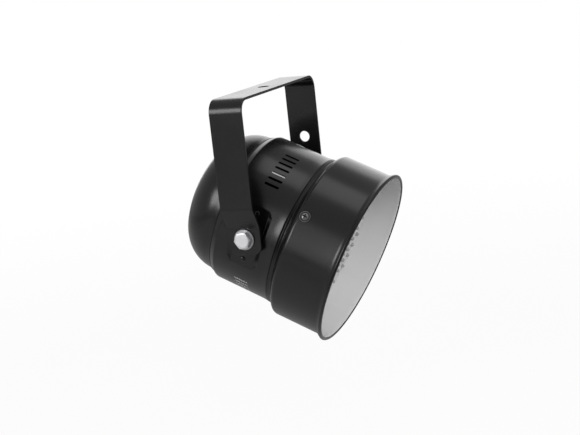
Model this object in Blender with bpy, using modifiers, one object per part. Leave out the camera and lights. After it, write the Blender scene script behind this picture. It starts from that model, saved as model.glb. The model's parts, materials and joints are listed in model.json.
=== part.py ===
"""LED par can: a spun steel can that tilts in a bent strip yoke, with a recessed field of lamps.

The origin is the centre of the hanging hole, on the top face of the yoke's bar, and +Z is up.
The can's pieces are modelled in the can's own frame and hang under the empty tilt_axis, which
sits on the pivot axis: local X runs along the pivot axis, local Y is the can's upper side and
local Z is the beam. Angles round the can start at its upper side and grow towards -X.
All sizes are in metres.
"""

import math

import bmesh
import bpy
from mathutils import Matrix, Vector

# Clearances
SEAT_GAP = 0.0003
RUNNING_GAP = 0.0003
SHANK_GAP = 0.0004
CUT_OVERRUN = 0.004
MERGE_DISTANCE = 0.00001
TOUCH_DISTANCE = 0.000001
SMOOTH_ANGLE = math.radians(32.0)

# Facets
ROUND_SIDES = 48
TRIM_SIDES = 16
HOLE_SIDES = 16
POST_SIDES = 8
SCREW_SIDES = 12
CORNER_STEPS = 4
SHOULDER_STEPS = 3

# Attitude and yoke
TILT = math.radians(25.65)
YOKE_REACH = 0.01985
YOKE_STRIP_WIDTH = 0.038
YOKE_THICKNESS = 0.003
YOKE_BEND_RADIUS = 0.008
SWING_CLEARANCE = 0.0022846
ARM_TAIL = 0.017
ARM_CORNER_RADIUS = 0.009
JOGGLE_DEPTH = 0.01265
JOGGLE_LOW = 0.014
JOGGLE_HIGH = 0.037
JOGGLE_RADIUS = 0.007
HANGING_HOLE_RADIUS = 0.0065
SAFETY_HOLE_RADIUS = 0.0065
SAFETY_HOLE_HEIGHT = 0.0796

# Can body
SHEET = 0.0012
BODY_RADIUS = 0.0885
BODY_SHOULDER = -0.0348
SHOULDER_LENGTH = 0.0062
SHOULDER_ANGLE = math.radians(31.0)
SHOULDER_BEND_RADIUS = 0.0040
BODY_FLANGE_FRONT = 0.0472
FLANGE_RIM_GAP = 0.0005

# Pressed pivot recess
RECESS_DEPTH = 0.0075
RECESS_HALF_LENGTH = 0.0148
RECESS_RIVET_EDGE = 0.0065
RECESS_WALL_ANGLE = math.radians(55.0)

# Vent slots
VENT_COUNT = 7
VENT_PITCH = math.radians(5.15)
VENT_GROUP_ANGLE = math.radians(32.8)
VENT_LENGTH = 0.0175
VENT_WIDTH = 0.0030
VENT_CENTRE = 0.0005
VENT_SIDES = 8

# Rear dome
DOME_INSET = 0.0020
DOME_SIDE_LENGTH = 0.0055
KNUCKLE_RADIUS = 0.0435
KNUCKLE_ANGLE = math.radians(66.0)
KNUCKLE_STEPS = 5
CROWN_STEPS = 3
DOME_LIP_HEIGHT = 0.0019
DOME_LIP_WIDTH = 0.0013
DOME_SKIRT = 0.0085

# Front collar
COLLAR_SHEET = 0.0010
COLLAR_STEP = 0.0097
COLLAR_DEPTH = 0.0624
NECK_LENGTH = 0.0067
CONE_SEAT = 0.0014
CONE_ANGLE = math.radians(48.6)
CONE_CORNER_RADIUS = 0.0045
BEAD_REACH = 0.0019
BEAD_RADIUS = 0.0022
BEAD_RISE_ANGLE = math.radians(33.0)
BEAD_STEPS = 6
COLLAR_CORNER_STEPS = 2
BEAD_THROAT = 0.0025

# Lamp field
BOARD_DEPTH = 0.0248
BOARD_THICKNESS = 0.0016
LAMP_PITCH = 0.0140
LAMP_FIELD_EDGE = 0.0092
LAMP_ROW_ANGLE = math.radians(10.6)
LAMP_RADIUS = 0.0025
LAMP_HEIGHT = 0.0033
LAMP_SHOULDER_RADIUS = 0.0020
LAMP_SHOULDER_HEIGHT = 0.0022
LAMP_SIDES = 6

# Lamp carrier, behind the board
CARRIER_SHEET = 0.0012
CARRIER_LEDGE = 0.0160
SPACER_RADIUS = 0.0030
SPACER_CIRCLE = 0.0560
SPACER_COUNT = 4

# Collar screws
COLLAR_SCREW_SETBACK = 0.0060
COLLAR_SCREW_ANGLES = (math.radians(60.0), math.radians(180.0), math.radians(300.0))
COLLAR_SCREW_RADIUS = 0.0019
COLLAR_SCREW_REACH = 0.0080
COLLAR_SCREW_HEAD_RADIUS = 0.0042
COLLAR_SCREW_HEAD_HEIGHT = 0.0026

# Pivot hardware
BOLT_RADIUS = 0.0050
BOLT_ACROSS_FLATS = 0.0170
BOLT_HEAD_HEIGHT = 0.0058
BOLT_CHAMFER = 0.0008
BOLT_TAIL = 0.0020
WASHER_RADIUS = 0.0115
WASHER_THICKNESS = 0.0016
BUSH_RADIUS = 0.0120
NUT_HEIGHT = 0.0080
STIFFENER_THICKNESS = 0.0020
STIFFENER_INSET = 0.0020
RIVET_OFFSET = 0.0280
RIVET_SHANK_RADIUS = 0.0020
RIVET_HEAD_RADIUS = 0.0030
RIVET_HEAD_HEIGHT = 0.0014
RIVET_CLEARANCE = 0.0003

# Driver board inside the body
DRIVER_WIDTH = 0.1100
DRIVER_HEIGHT = 0.0760
DRIVER_POST_LENGTH = 0.0140
DRIVER_POST_RADIUS = 0.0030
DRIVER_POST_INSET = 0.0060
TRANSFORMER_WIDTH = 0.0420
TRANSFORMER_HEIGHT = 0.0360
TRANSFORMER_DEPTH = 0.0300
TRANSFORMER_X = -0.0260
CAPACITOR_RADIUS = 0.0080
CAPACITOR_LENGTH = 0.0260
CAPACITOR_X = 0.0080
CAPACITOR_Y = 0.0140
HEAT_SINK_WIDTH = 0.0280
HEAT_SINK_HEIGHT = 0.0500
HEAT_SINK_BASE = 0.0040
HEAT_SINK_FIN = 0.0140
HEAT_SINK_FIN_COUNT = 5
HEAT_SINK_FIN_THICKNESS = 0.0016
HEAT_SINK_EDGE = 0.0180

# Control recess on the crown of the dome
CROWN_RECESS_DEPTH = 0.00575
CROWN_RECESS_WIDTH = 0.0660
CROWN_RECESS_HEIGHT = 0.0440
XLR_FLANGE_WIDTH = 0.0260
XLR_FLANGE_HEIGHT = 0.0300
XLR_FLANGE_THICKNESS = 0.0016
XLR_FLANGE_CORNER = 0.0030
XLR_X = 0.0155
XLR_Y = -0.0050
XLR_BARREL_RADIUS = 0.0112
XLR_BORE_RADIUS = 0.0093
XLR_BORE_DEPTH = 0.0140
XLR_DEPTH = 0.0200
XLR_CORE_RADIUS = 0.0074
XLR_PIN_RADIUS = 0.00125
XLR_PIN_CIRCLE = 0.0048
XLR_PIN_LENGTH = 0.0110
LATCH_WIDTH = 0.0066
LATCH_HEIGHT = 0.0024
LATCH_TRAVEL = 0.0010
LATCH_PRESSED_PROUD = 0.0002
LATCH_DEPTH = 0.0040
LATCH_OFFSET = 0.0134
DIP_WIDTH = 0.0262
DIP_HEIGHT = 0.0076
DIP_DEPTH = 0.0060
DIP_PROUD = 0.0010
DIP_Y = 0.0165
DIP_COUNT = 10
DIP_PITCH = 0.00254
DIP_SLOT_WIDTH = 0.0016
DIP_SLOT_LENGTH = 0.0044
DIP_SLOT_DEPTH = 0.0016
SLIDER_WIDTH = 0.0011
SLIDER_LENGTH = 0.0016
SLIDER_PROUD = 0.0005
SLIDER_TRAVEL = 0.0022

# Control board behind the crown
CONTROL_BOARD_WIDTH = 0.0700
CONTROL_BOARD_HEIGHT = 0.0460
SWITCH_BOARD_WIDTH = 0.0420
SWITCH_BOARD_HEIGHT = 0.0120
SWITCH_POST_RADIUS = 0.0020
SWITCH_POST_X = 0.0170

# Cable gland
GLAND_RADIUS_ON_DOME = 0.0640
GLAND_ANGLE = math.radians(250.0)
GLAND_SEAT_RADIUS = 0.0135
GLAND_SEAT_DEPTH = 0.0016
GLAND_THREAD_RADIUS = 0.0078
GLAND_BORE_RADIUS = 0.0050
GLAND_ACROSS_FLATS = 0.0200
GLAND_FLANGE_HEIGHT = 0.0040
GLAND_CAP_RADIUS = 0.0092
GLAND_CAP_HEIGHT = 0.0090
GLAND_NUT_HEIGHT = 0.0040
GLAND_TAIL = 0.0080

# Values that follow from the sizes above
YOKE_WIDTH = 2 * (BODY_RADIUS + YOKE_REACH)
PAD_OUTER = YOKE_WIDTH / 2 - JOGGLE_DEPTH
PAD_INNER = PAD_OUTER - YOKE_THICKNESS
BODY_REAR = BODY_SHOULDER - SHOULDER_LENGTH
BODY_MOUTH = BODY_RADIUS - SHOULDER_LENGTH * math.tan(SHOULDER_ANGLE)
NECK_INNER_RADIUS = BODY_RADIUS + SEAT_GAP
NECK_RADIUS = NECK_INNER_RADIUS + COLLAR_SHEET
COLLAR_RADIUS = BODY_RADIUS + COLLAR_STEP
COLLAR_INNER_RADIUS = COLLAR_RADIUS - COLLAR_SHEET
CONE_FRONT = BODY_FLANGE_FRONT - SHEET - CONE_SEAT
CONE_REAR = CONE_FRONT - (COLLAR_RADIUS - NECK_RADIUS) / math.tan(CONE_ANGLE)
NECK_REAR = CONE_REAR - NECK_LENGTH
BEAD_CENTRE = BODY_FLANGE_FRONT + COLLAR_DEPTH - BEAD_RADIUS
BEAD_CENTRE_RADIUS = COLLAR_RADIUS + BEAD_REACH
SWING_RADIUS = math.hypot(BEAD_CENTRE, BEAD_CENTRE_RADIUS) + BEAD_RADIUS
PIVOT_DROP = SWING_RADIUS + SWING_CLEARANCE + YOKE_THICKNESS
BOARD_FRONT = BODY_FLANGE_FRONT + BOARD_DEPTH
LAMP_FIELD_RADIUS = COLLAR_RADIUS - LAMP_FIELD_EDGE
CARRIER_WINDOW_RADIUS = SPACER_CIRCLE - CARRIER_LEDGE
COLLAR_SCREW_POSITION = BODY_FLANGE_FRONT + COLLAR_SCREW_SETBACK
CARRIER_RADIUS = COLLAR_INNER_RADIUS - SEAT_GAP
CARRIER_REAR = BODY_FLANGE_FRONT + SEAT_GAP
BOARD_REAR = BOARD_FRONT - BOARD_THICKNESS
CARRIER_FRONT = BOARD_REAR - SEAT_GAP
RECESS_FLOOR = BODY_RADIUS - RECESS_DEPTH
RECESS_FLOOR_RADIUS = RIVET_OFFSET + RECESS_RIVET_EDGE
RECESS_INNER_FLOOR = RECESS_FLOOR - SHEET
STIFFENER_OUTER = RECESS_INNER_FLOOR - SEAT_GAP
STIFFENER_INNER = STIFFENER_OUTER - STIFFENER_THICKNESS
STIFFENER_HALF_LENGTH = RECESS_HALF_LENGTH - STIFFENER_INSET
STIFFENER_HALF_HEIGHT = RECESS_FLOOR_RADIUS - STIFFENER_INSET
NUT_OUTER = STIFFENER_INNER - SEAT_GAP
NUT_INNER = NUT_OUTER - NUT_HEIGHT
WASHER_INNER = PAD_OUTER + SEAT_GAP
WASHER_OUTER = WASHER_INNER + WASHER_THICKNESS
BOLT_HEAD_INNER = WASHER_OUTER + SEAT_GAP
BOLT_HEAD_OUTER = BOLT_HEAD_INNER + BOLT_HEAD_HEIGHT
BOLT_HOLE_RADIUS = BOLT_RADIUS + SHANK_GAP
DRIVER_FRONT = CARRIER_REAR - SEAT_GAP - DRIVER_POST_LENGTH - SEAT_GAP
DRIVER_REAR = DRIVER_FRONT - BOARD_THICKNESS
HEAT_SINK_X = DRIVER_WIDTH / 2 - HEAT_SINK_EDGE
DOME_RADIUS = BODY_MOUTH - DOME_INSET
KNUCKLE_START = BODY_REAR - DOME_SIDE_LENGTH
CROWN_RADIUS = KNUCKLE_RADIUS + (DOME_RADIUS - KNUCKLE_RADIUS) / math.cos(KNUCKLE_ANGLE)
CROWN_CENTRE = KNUCKLE_START + (DOME_RADIUS - KNUCKLE_RADIUS) * math.tan(KNUCKLE_ANGLE)
CROWN_FLOOR = CROWN_CENTRE - CROWN_RADIUS + CROWN_RECESS_DEPTH
CROWN_INNER_FLOOR = CROWN_FLOOR + SHEET
XLR_FLANGE_REAR = CROWN_FLOOR - SEAT_GAP
XLR_FACE = XLR_FLANGE_REAR - XLR_FLANGE_THICKNESS
XLR_INNER_END = XLR_FACE + XLR_DEPTH
CONTROL_BOARD_REAR = XLR_INNER_END + SEAT_GAP
LATCH_PROUD = LATCH_TRAVEL + LATCH_PRESSED_PROUD

PARTS_NAME = "led_par_can"
CUTTERS_NAME = "led_par_can_cutters"


def clear_scene():
    """Remove the objects that a new file starts with."""
    for obj in list(bpy.data.objects):
        bpy.data.objects.remove(obj)


def collection(name):
    """Return the named collection, made in the scene when it is missing."""
    found = bpy.data.collections.get(name)
    if found is None:
        found = bpy.data.collections.new(name)
        bpy.context.scene.collection.children.link(found)
    return found


def principled(name, colour, roughness, metallic):
    """Return the named Principled material, made once."""
    found = bpy.data.materials.get(name)
    if found is None:
        found = bpy.data.materials.new(name)
        found.use_nodes = True
        shader = found.node_tree.nodes["Principled BSDF"]
        shader.inputs["Base Color"].default_value = (*colour, 1.0)
        shader.inputs["Roughness"].default_value = roughness
        shader.inputs["Metallic"].default_value = metallic
    return found


def black_paint():
    return principled("black_paint", (0.018, 0.018, 0.019), 0.42, 0.0)


def white_solder_mask():
    return principled("white_solder_mask", (0.62, 0.62, 0.63), 0.45, 0.0)


def zinc_steel():
    return principled("zinc_steel", (0.74, 0.74, 0.75), 0.32, 1.0)


def galvanised_sheet():
    return principled("galvanised_sheet", (0.50, 0.51, 0.52), 0.50, 1.0)


def black_screw_steel():
    return principled("black_screw_steel", (0.03, 0.03, 0.03), 0.38, 0.6)


def black_nylon():
    return principled("black_nylon", (0.015, 0.015, 0.015), 0.55, 0.0)


def black_rubber():
    return principled("black_rubber", (0.012, 0.012, 0.012), 0.80, 0.0)


def circuit_board():
    return principled("circuit_board", (0.02, 0.13, 0.05), 0.45, 0.0)


def core_steel():
    return principled("core_steel", (0.30, 0.30, 0.31), 0.45, 1.0)


def aluminium():
    return principled("aluminium", (0.70, 0.71, 0.72), 0.35, 1.0)


def nickel():
    return principled("nickel", (0.66, 0.65, 0.62), 0.30, 1.0)


def red_plastic():
    return principled("red_plastic", (0.50, 0.03, 0.03), 0.40, 0.0)


def white_plastic():
    return principled("white_plastic", (0.80, 0.80, 0.78), 0.40, 0.0)


def add_object(name, mesh, group):
    """Put a mesh in a new object of the named collection."""
    obj = bpy.data.objects.new(name, mesh)
    collection(group).objects.link(obj)
    return obj


def add_part(name, mesh, material, parent=None):
    """Put a mesh in a new sub-part, with its material and its parent."""
    obj = add_object(name, mesh, PARTS_NAME)
    mesh.materials.clear()
    mesh.materials.append(material)
    obj.parent = parent
    return obj


def add_cutter(name, mesh, parent=None):
    """Put a mesh in a new cutter, which is drawn as wire and never rendered."""
    obj = add_object(name, mesh, CUTTERS_NAME)
    obj.parent = parent
    obj.hide_render = True
    obj.display_type = "WIRE"
    return obj


def combine(obj, other, operation):
    """Give an object a Boolean modifier with another object."""
    modifier = obj.modifiers.new(other.name, "BOOLEAN")
    modifier.operation = operation
    modifier.solver = "EXACT"
    modifier.object = other


def mesh_from(bm, name):
    """Turn a bmesh into a mesh and free it."""
    bmesh.ops.recalc_face_normals(bm, faces=bm.faces)
    mesh = bpy.data.meshes.new(name)
    bm.to_mesh(mesh)
    bm.free()
    return mesh


def evaluated_mesh(obj):
    """Return a new mesh of an object as its modifiers leave it."""
    bpy.context.view_layer.update()
    graph = bpy.context.evaluated_depsgraph_get()
    return bpy.data.meshes.new_from_object(obj.evaluated_get(graph))


def turned_mesh(name, outline, steps, closed=False):
    """Return the mesh of an outline of (radius, height) points turned about Z.

    The outline runs down its outer side. A closed one is the section of a ring.
    """
    count = len(outline)
    edges = [(i, i + 1) for i in range(count - 1)]
    if closed:
        edges.append((count - 1, 0))
    mesh = bpy.data.meshes.new(name)
    mesh.from_pydata([(r, 0.0, z) for r, z in outline], edges, [])
    scratch = add_object(name + "_profile", mesh, CUTTERS_NAME)
    screw = scratch.modifiers.new("turn", "SCREW")
    screw.axis = "Z"
    screw.angle = math.tau
    screw.steps = steps
    screw.render_steps = steps
    screw.use_merge_vertices = True
    screw.merge_threshold = MERGE_DISTANCE
    result = evaluated_mesh(scratch)
    bpy.data.objects.remove(scratch)
    result.name = name
    return result


def cylinder_mesh(name, radius, low, high, steps=TRIM_SIDES):
    """Return a closed cylinder about Z between two heights."""
    outline = [(0.0, high), (radius, high), (radius, low), (0.0, low)]
    return turned_mesh(name, outline, steps)


def ring_mesh(name, inner, outer, low, high, steps=TRIM_SIDES):
    """Return a plain ring about Z between two heights."""
    outline = [(outer, high), (outer, low), (inner, low), (inner, high)]
    return turned_mesh(name, outline, steps, closed=True)


def box_bmesh(size, centre):
    """Return a bmesh holding one box."""
    bm = bmesh.new()
    placing = Matrix.Translation(centre) @ Matrix.Diagonal((*size, 1.0))
    bmesh.ops.create_cube(bm, size=1.0, matrix=placing)
    return bm


def box_mesh(name, size, centre):
    return mesh_from(box_bmesh(size, centre), name)


def plate_mesh(name, width, height, corner, low, high):
    """Return a plate in the XY plane with rounded corners, between two heights."""
    bm = box_bmesh((width, height, high - low), (0.0, 0.0, (low + high) / 2))
    upright = [e for e in bm.edges if abs(e.verts[0].co.z - e.verts[1].co.z) > (high - low) / 2]
    bmesh.ops.bevel(bm, geom=upright, offset=corner, segments=CORNER_STEPS, affect="EDGES")
    return mesh_from(bm, name)


def hex_mesh(name, across_flats, low, high, bore=0.0):
    """Return a hexagonal prism about Z, with a round bore when one is given."""
    bm = bmesh.new()
    radius = across_flats / 2 / math.cos(math.pi / 6)
    middle = Matrix.Translation((0.0, 0.0, (low + high) / 2))
    bmesh.ops.create_cone(bm, cap_ends=True, segments=6, radius1=radius, radius2=radius,
                          depth=high - low, matrix=middle)
    mesh = mesh_from(bm, name)
    if bore:
        mesh = cut_mesh(mesh, cylinder_mesh(name + "_bore", bore, low - CUT_OVERRUN,
                                            high + CUT_OVERRUN))
    return mesh


def boolean_mesh(mesh, other, operation):
    """Return the Boolean of two meshes that share one frame."""
    base = add_object("base", mesh, CUTTERS_NAME)
    tool = add_object("tool", other, CUTTERS_NAME)
    combine(base, tool, operation)
    result = evaluated_mesh(base)
    result.name = mesh.name
    bpy.data.objects.remove(base)
    bpy.data.objects.remove(tool)
    return result


def cut_mesh(mesh, other):
    return boolean_mesh(mesh, other, "DIFFERENCE")


def join_mesh(mesh, other):
    return boolean_mesh(mesh, other, "UNION")


def gathered_mesh(name, items):
    """Return one mesh of several, each placed by its own matrix."""
    bm = bmesh.new()
    for mesh, placing in items:
        start = len(bm.verts)
        bm.from_mesh(mesh)
        bm.verts.ensure_lookup_table()
        bmesh.ops.transform(bm, matrix=placing, verts=bm.verts[start:])
    result = bpy.data.meshes.new(name)
    bm.to_mesh(result)
    bm.free()
    return result


def arc(centre, radius, start, end, steps):
    """Return points of an arc in a plane, from one angle to another."""
    points = []
    for i in range(steps + 1):
        angle = start + (end - start) * i / steps
        points.append((centre[0] + radius * math.cos(angle), centre[1] + radius * math.sin(angle)))
    return points


def rounded_path(corners, radii, steps=CORNER_STEPS):
    """Return a path through corner points, each inner corner turned into an arc."""
    path = [corners[0]]
    for before, corner, after, radius in zip(corners, corners[1:], corners[2:], radii):
        here = Vector(corner)
        back = (Vector(before) - here).normalized()
        ahead = (Vector(after) - here).normalized()
        half = back.angle(ahead) / 2
        centre = here + (back + ahead).normalized() * (radius / math.sin(half))
        first = here + back * (radius / math.tan(half)) - centre
        turn = math.pi - 2 * half
        if first.x * back.y - first.y * back.x > 0:
            turn = -turn
        start = math.atan2(first.y, first.x)
        path.extend(arc(centre, radius, start, start + turn, steps))
    path.append(corners[-1])
    return path


def offset_path(corners, distance):
    """Return the path moved sideways to its left, with mitred corners."""
    moved = []
    last = len(corners) - 1
    for i, corner in enumerate(corners):
        before = Vector(corner) - Vector(corners[max(i - 1, 0)])
        after = Vector(corners[min(i + 1, last)]) - Vector(corner)
        before = (before if i > 0 else after).normalized()
        after = (after if i < last else before).normalized()
        normal = Vector((-before.y, before.x)) + Vector((-after.y, after.x))
        normal.normalize()
        reach = distance / normal.dot(Vector((-after.y, after.x)))
        moved.append((corner[0] + normal.x * reach, corner[1] + normal.y * reach))
    return moved


def facing_side(side):
    """Return the turn that points a piece's Z axis along +X or -X of the can."""
    return (0.0, side * math.pi / 2, 0.0)


def facing_out(angle):
    """Return the turn that points a piece's Z axis outwards at an angle round the can."""
    return (-math.pi / 2, 0.0, angle)


def side_name(side):
    return "near" if side < 0 else "far"


def tilt_axis():
    """Make the empty on the pivot axis that carries every piece of the can."""
    empty = bpy.data.objects.new("tilt_axis", None)
    collection(PARTS_NAME).objects.link(empty)
    empty.location = (0.0, 0.0, -PIVOT_DROP)
    empty.rotation_euler = (math.pi / 2 + TILT, 0.0, 0.0)
    return empty


def yoke_section():
    """Return the closed section of one half of the yoke in the XZ plane."""
    arm = YOKE_WIDTH / 2 - YOKE_THICKNESS / 2
    pad = arm - JOGGLE_DEPTH
    corners = [
        (-pad, -PIVOT_DROP - ARM_TAIL),
        (-pad, -PIVOT_DROP + JOGGLE_LOW),
        (-arm, -PIVOT_DROP + JOGGLE_HIGH),
        (-arm, -YOKE_THICKNESS / 2),
        (0.0, -YOKE_THICKNESS / 2),
    ]
    half = YOKE_THICKNESS / 2
    bend = YOKE_BEND_RADIUS
    outer_radii = (JOGGLE_RADIUS, JOGGLE_RADIUS + YOKE_THICKNESS, bend + YOKE_THICKNESS)
    inner_radii = (JOGGLE_RADIUS + YOKE_THICKNESS, JOGGLE_RADIUS, bend)
    outer = rounded_path(offset_path(corners, half), outer_radii)
    inner = rounded_path(offset_path(corners, -half), inner_radii)
    return outer, inner


def yoke_bracket():
    """Bend a flat strip into the yoke: bar, two arms, a joggle in each and round ends."""
    outer, inner = yoke_section()
    bm = bmesh.new()
    side = YOKE_STRIP_WIDTH / 2
    front = [[bm.verts.new((x, -side, z)) for x, z in line] for line in (outer, inner)]
    quads = []
    for i in range(len(outer) - 1):
        quads.append(bm.faces.new((front[0][i], front[0][i + 1], front[1][i + 1], front[1][i])))
    drawn = bmesh.ops.extrude_face_region(bm, geom=quads)["geom"]
    moved = [item for item in drawn if isinstance(item, bmesh.types.BMVert)]
    bmesh.ops.translate(bm, vec=(0.0, YOKE_STRIP_WIDTH, 0.0), verts=moved)
    at_plane = [f for f in bm.faces if all(abs(v.co.x) < TOUCH_DISTANCE for v in f.verts)]
    bmesh.ops.delete(bm, geom=at_plane, context="FACES_ONLY")
    foot = -PIVOT_DROP - ARM_TAIL
    ends = []
    for edge in bm.edges:
        low = all(abs(v.co.z - foot) < TOUCH_DISTANCE for v in edge.verts)
        across = abs(edge.verts[0].co.y - edge.verts[1].co.y) < TOUCH_DISTANCE
        if low and across:
            ends.append(edge)
    bmesh.ops.bevel(bm, geom=ends, offset=ARM_CORNER_RADIUS, segments=CORNER_STEPS,
                      affect="EDGES")
    obj = add_part("yoke_bracket", mesh_from(bm, "yoke_bracket"), black_paint())
    mirror = obj.modifiers.new("other_half", "MIRROR")
    mirror.use_axis = (True, False, False)
    mirror.merge_threshold = MERGE_DISTANCE
    combine(obj, yoke_holes(), "DIFFERENCE")
    return obj


def yoke_holes():
    """Make the cutter of the hanging, safety and pivot holes."""
    reach = YOKE_THICKNESS + CUT_OVERRUN
    upright = cylinder_mesh("hanging_hole", HANGING_HOLE_RADIUS, -reach, reach, HOLE_SIDES)
    arm = YOKE_WIDTH / 2
    items = [(upright, Matrix.Identity(4))]
    safety = cylinder_mesh("safety_hole", SAFETY_HOLE_RADIUS, -reach, reach, HOLE_SIDES)
    pivot = cylinder_mesh("pivot_hole", BOLT_HOLE_RADIUS, -reach, reach, HOLE_SIDES)
    along_x = Matrix.Rotation(math.pi / 2, 4, "Y")
    height = -PIVOT_DROP + SAFETY_HOLE_HEIGHT
    items.append((safety, Matrix.Translation((arm, 0.0, height)) @ along_x))
    for side in (-1, 1):
        place = Matrix.Translation((side * PAD_OUTER, 0.0, -PIVOT_DROP))
        items.append((pivot, place @ along_x))
    return add_cutter("yoke_holes", gathered_mesh("yoke_holes", items))


def shoulder_radius(position, inset=0.0):
    """Return the body's radius at a place on its coned rear shoulder."""
    fall = (BODY_SHOULDER - position) * math.tan(SHOULDER_ANGLE)
    return BODY_RADIUS - fall - inset / math.cos(SHOULDER_ANGLE)


def flange_radius():
    """Return the radius of the body's front flange, just inside the collar's shoulder."""
    return COLLAR_INNER_RADIUS - FLANGE_RIM_GAP


def body_outline():
    """Return the outside of the body from its front flange to its rear edge."""
    behind = BODY_FLANGE_FRONT - SHEET
    bend = rounded_path([(BODY_RADIUS, behind), (BODY_RADIUS, BODY_SHOULDER),
                         (shoulder_radius(BODY_REAR), BODY_REAR)],
                        (SHOULDER_BEND_RADIUS,), SHOULDER_STEPS)
    rim = flange_radius()
    front = [(0.0, BODY_FLANGE_FRONT), (rim, BODY_FLANGE_FRONT), (rim, behind)]
    return front + bend + [(0.0, BODY_REAR)]


def body_cavity_outline():
    """Return the inside of the body, run past both of its open ends."""
    mouth = BODY_FLANGE_FRONT + CUT_OVERRUN
    inner = BODY_RADIUS - SHEET
    opening = shoulder_radius(BODY_REAR, SHEET)
    turn = BODY_SHOULDER + SHEET * math.tan(SHOULDER_ANGLE / 2)
    past = BODY_REAR - CUT_OVERRUN
    return [(0.0, mouth), (inner, mouth), (inner, turn), (opening, BODY_REAR),
            (opening, past), (0.0, past)]


def recess_mesh(name, inset):
    """Return the solid that presses one flat recess, grown by an inset for the inner skin.

    It is a clipped disc with sloped sides: a cone about the pivot axis, limited by a wedge
    along the beam, with its floor square to the pivot axis.
    """
    flare = 1.0 / math.tan(RECESS_WALL_ANGLE)
    grow = inset * math.tan(RECESS_WALL_ANGLE / 2)
    floor = RECESS_FLOOR - inset
    top = BODY_RADIUS + CUT_OVERRUN
    rise = top - floor
    radius = RECESS_FLOOR_RADIUS + grow
    half = RECESS_HALF_LENGTH + grow
    wide = radius + rise * flare
    disc = turned_mesh(name, [(0.0, top), (wide, top), (radius, floor), (0.0, floor)],
                       ROUND_SIDES)
    bm = box_bmesh((1.0, 1.0, rise), (0.0, 0.0, (top + floor) / 2))
    for vert in bm.verts:
        reach = half + (rise * flare if vert.co.z > floor + rise / 2 else 0.0)
        vert.co.x = math.copysign(reach, vert.co.x)
        vert.co.y = math.copysign(2 * wide, vert.co.y)
    return boolean_mesh(disc, mesh_from(bm, name + "_wedge"), "INTERSECT")


def recess_pair(name, inset, parent):
    """Make the cutter of the recesses at both pivots."""
    single = recess_mesh(name, inset)
    items = [(single, Matrix.Rotation(side * math.pi / 2, 4, "Y")) for side in (-1, 1)]
    return add_cutter(name, gathered_mesh(name, items), parent)


def vent_angles():
    """Return the angles of every vent slot: four groups, mirrored left, right, up and down."""
    angles = []
    for middle in (VENT_GROUP_ANGLE, math.pi - VENT_GROUP_ANGLE):
        for i in range(VENT_COUNT):
            step = (i - (VENT_COUNT - 1) / 2) * VENT_PITCH
            angles.append(middle + step)
            angles.append(-middle - step)
    return angles


def vent_slots(parent):
    """Make the cutter of the vent slots, each a rounded slot along the beam."""
    bm = bmesh.new()
    bmesh.ops.create_circle(bm, cap_ends=True, segments=VENT_SIDES, radius=VENT_WIDTH / 2,
                            matrix=Matrix.Rotation(math.pi / VENT_SIDES, 4, "Z"))
    pull = (VENT_LENGTH - VENT_WIDTH) / 2
    for vert in bm.verts:
        vert.co.y += math.copysign(pull, vert.co.y)
    drawn = bmesh.ops.extrude_face_region(bm, geom=bm.faces[:])["geom"]
    depth = SHEET + 2 * CUT_OVERRUN
    lifted = [item for item in drawn if isinstance(item, bmesh.types.BMVert)]
    bmesh.ops.translate(bm, vec=(0.0, 0.0, depth), verts=lifted)
    slot = mesh_from(bm, "vent_slot")
    base = Matrix.Translation((0.0, BODY_RADIUS - SHEET - CUT_OVERRUN, VENT_CENTRE))
    base = base @ Matrix.Rotation(-math.pi / 2, 4, "X")
    items = [(slot, Matrix.Rotation(angle, 4, "Z") @ base) for angle in vent_angles()]
    return add_cutter("vent_slots", gathered_mesh("vent_slots", items), parent)


def pivot_floor_holes(name, low, high):
    """Return the bolt hole and rivet holes through one pivot's flat wall."""
    items = [(cylinder_mesh(name, BOLT_HOLE_RADIUS, low, high, HOLE_SIDES), Matrix.Identity(4))]
    rivet = cylinder_mesh(name, RIVET_SHANK_RADIUS + RIVET_CLEARANCE, low, high, POST_SIDES)
    for place in (-RIVET_OFFSET, RIVET_OFFSET):
        items.append((rivet, Matrix.Translation((0.0, place, 0.0))))
    return gathered_mesh(name, items)


def body_holes(parent):
    """Make the cutter of the bolt and rivet holes in both flat recesses."""
    single = pivot_floor_holes("body_holes", RECESS_INNER_FLOOR - CUT_OVERRUN,
                               RECESS_FLOOR + CUT_OVERRUN)
    items = [(single, Matrix.Rotation(side * math.pi / 2, 4, "Y")) for side in (-1, 1)]
    return add_cutter("body_holes", gathered_mesh("body_holes", items), parent)


def body_shell(parent):
    """Spin the body, press the two flat recesses through both skins and punch the slots."""
    obj = add_part("body_shell", turned_mesh("body_shell", body_outline(), ROUND_SIDES),
                   black_paint(), parent)
    combine(obj, recess_pair("pivot_recesses", 0.0, parent), "DIFFERENCE")
    hollow = turned_mesh("body_cavity", body_cavity_outline(), ROUND_SIDES)
    cavity = add_cutter("body_cavity", hollow, parent)
    combine(cavity, recess_pair("pivot_recesses_inside", SHEET, parent), "DIFFERENCE")
    combine(obj, cavity, "DIFFERENCE")
    combine(obj, vent_slots(parent), "DIFFERENCE")
    combine(obj, body_holes(parent), "DIFFERENCE")
    return obj


def dome_curve(inset):
    """Return the dome's curve from the start of its knuckle to its crown on the axis."""
    centre = (DOME_RADIUS - KNUCKLE_RADIUS, KNUCKLE_START)
    knuckle = arc(centre, KNUCKLE_RADIUS - inset, 0.0, -KNUCKLE_ANGLE, KNUCKLE_STEPS)
    crown = arc((0.0, CROWN_CENTRE), CROWN_RADIUS - inset, -KNUCKLE_ANGLE, -math.pi / 2,
                CROWN_STEPS)
    return knuckle + crown[1:-1] + [(0.0, CROWN_CENTRE - CROWN_RADIUS + inset)]


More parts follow.
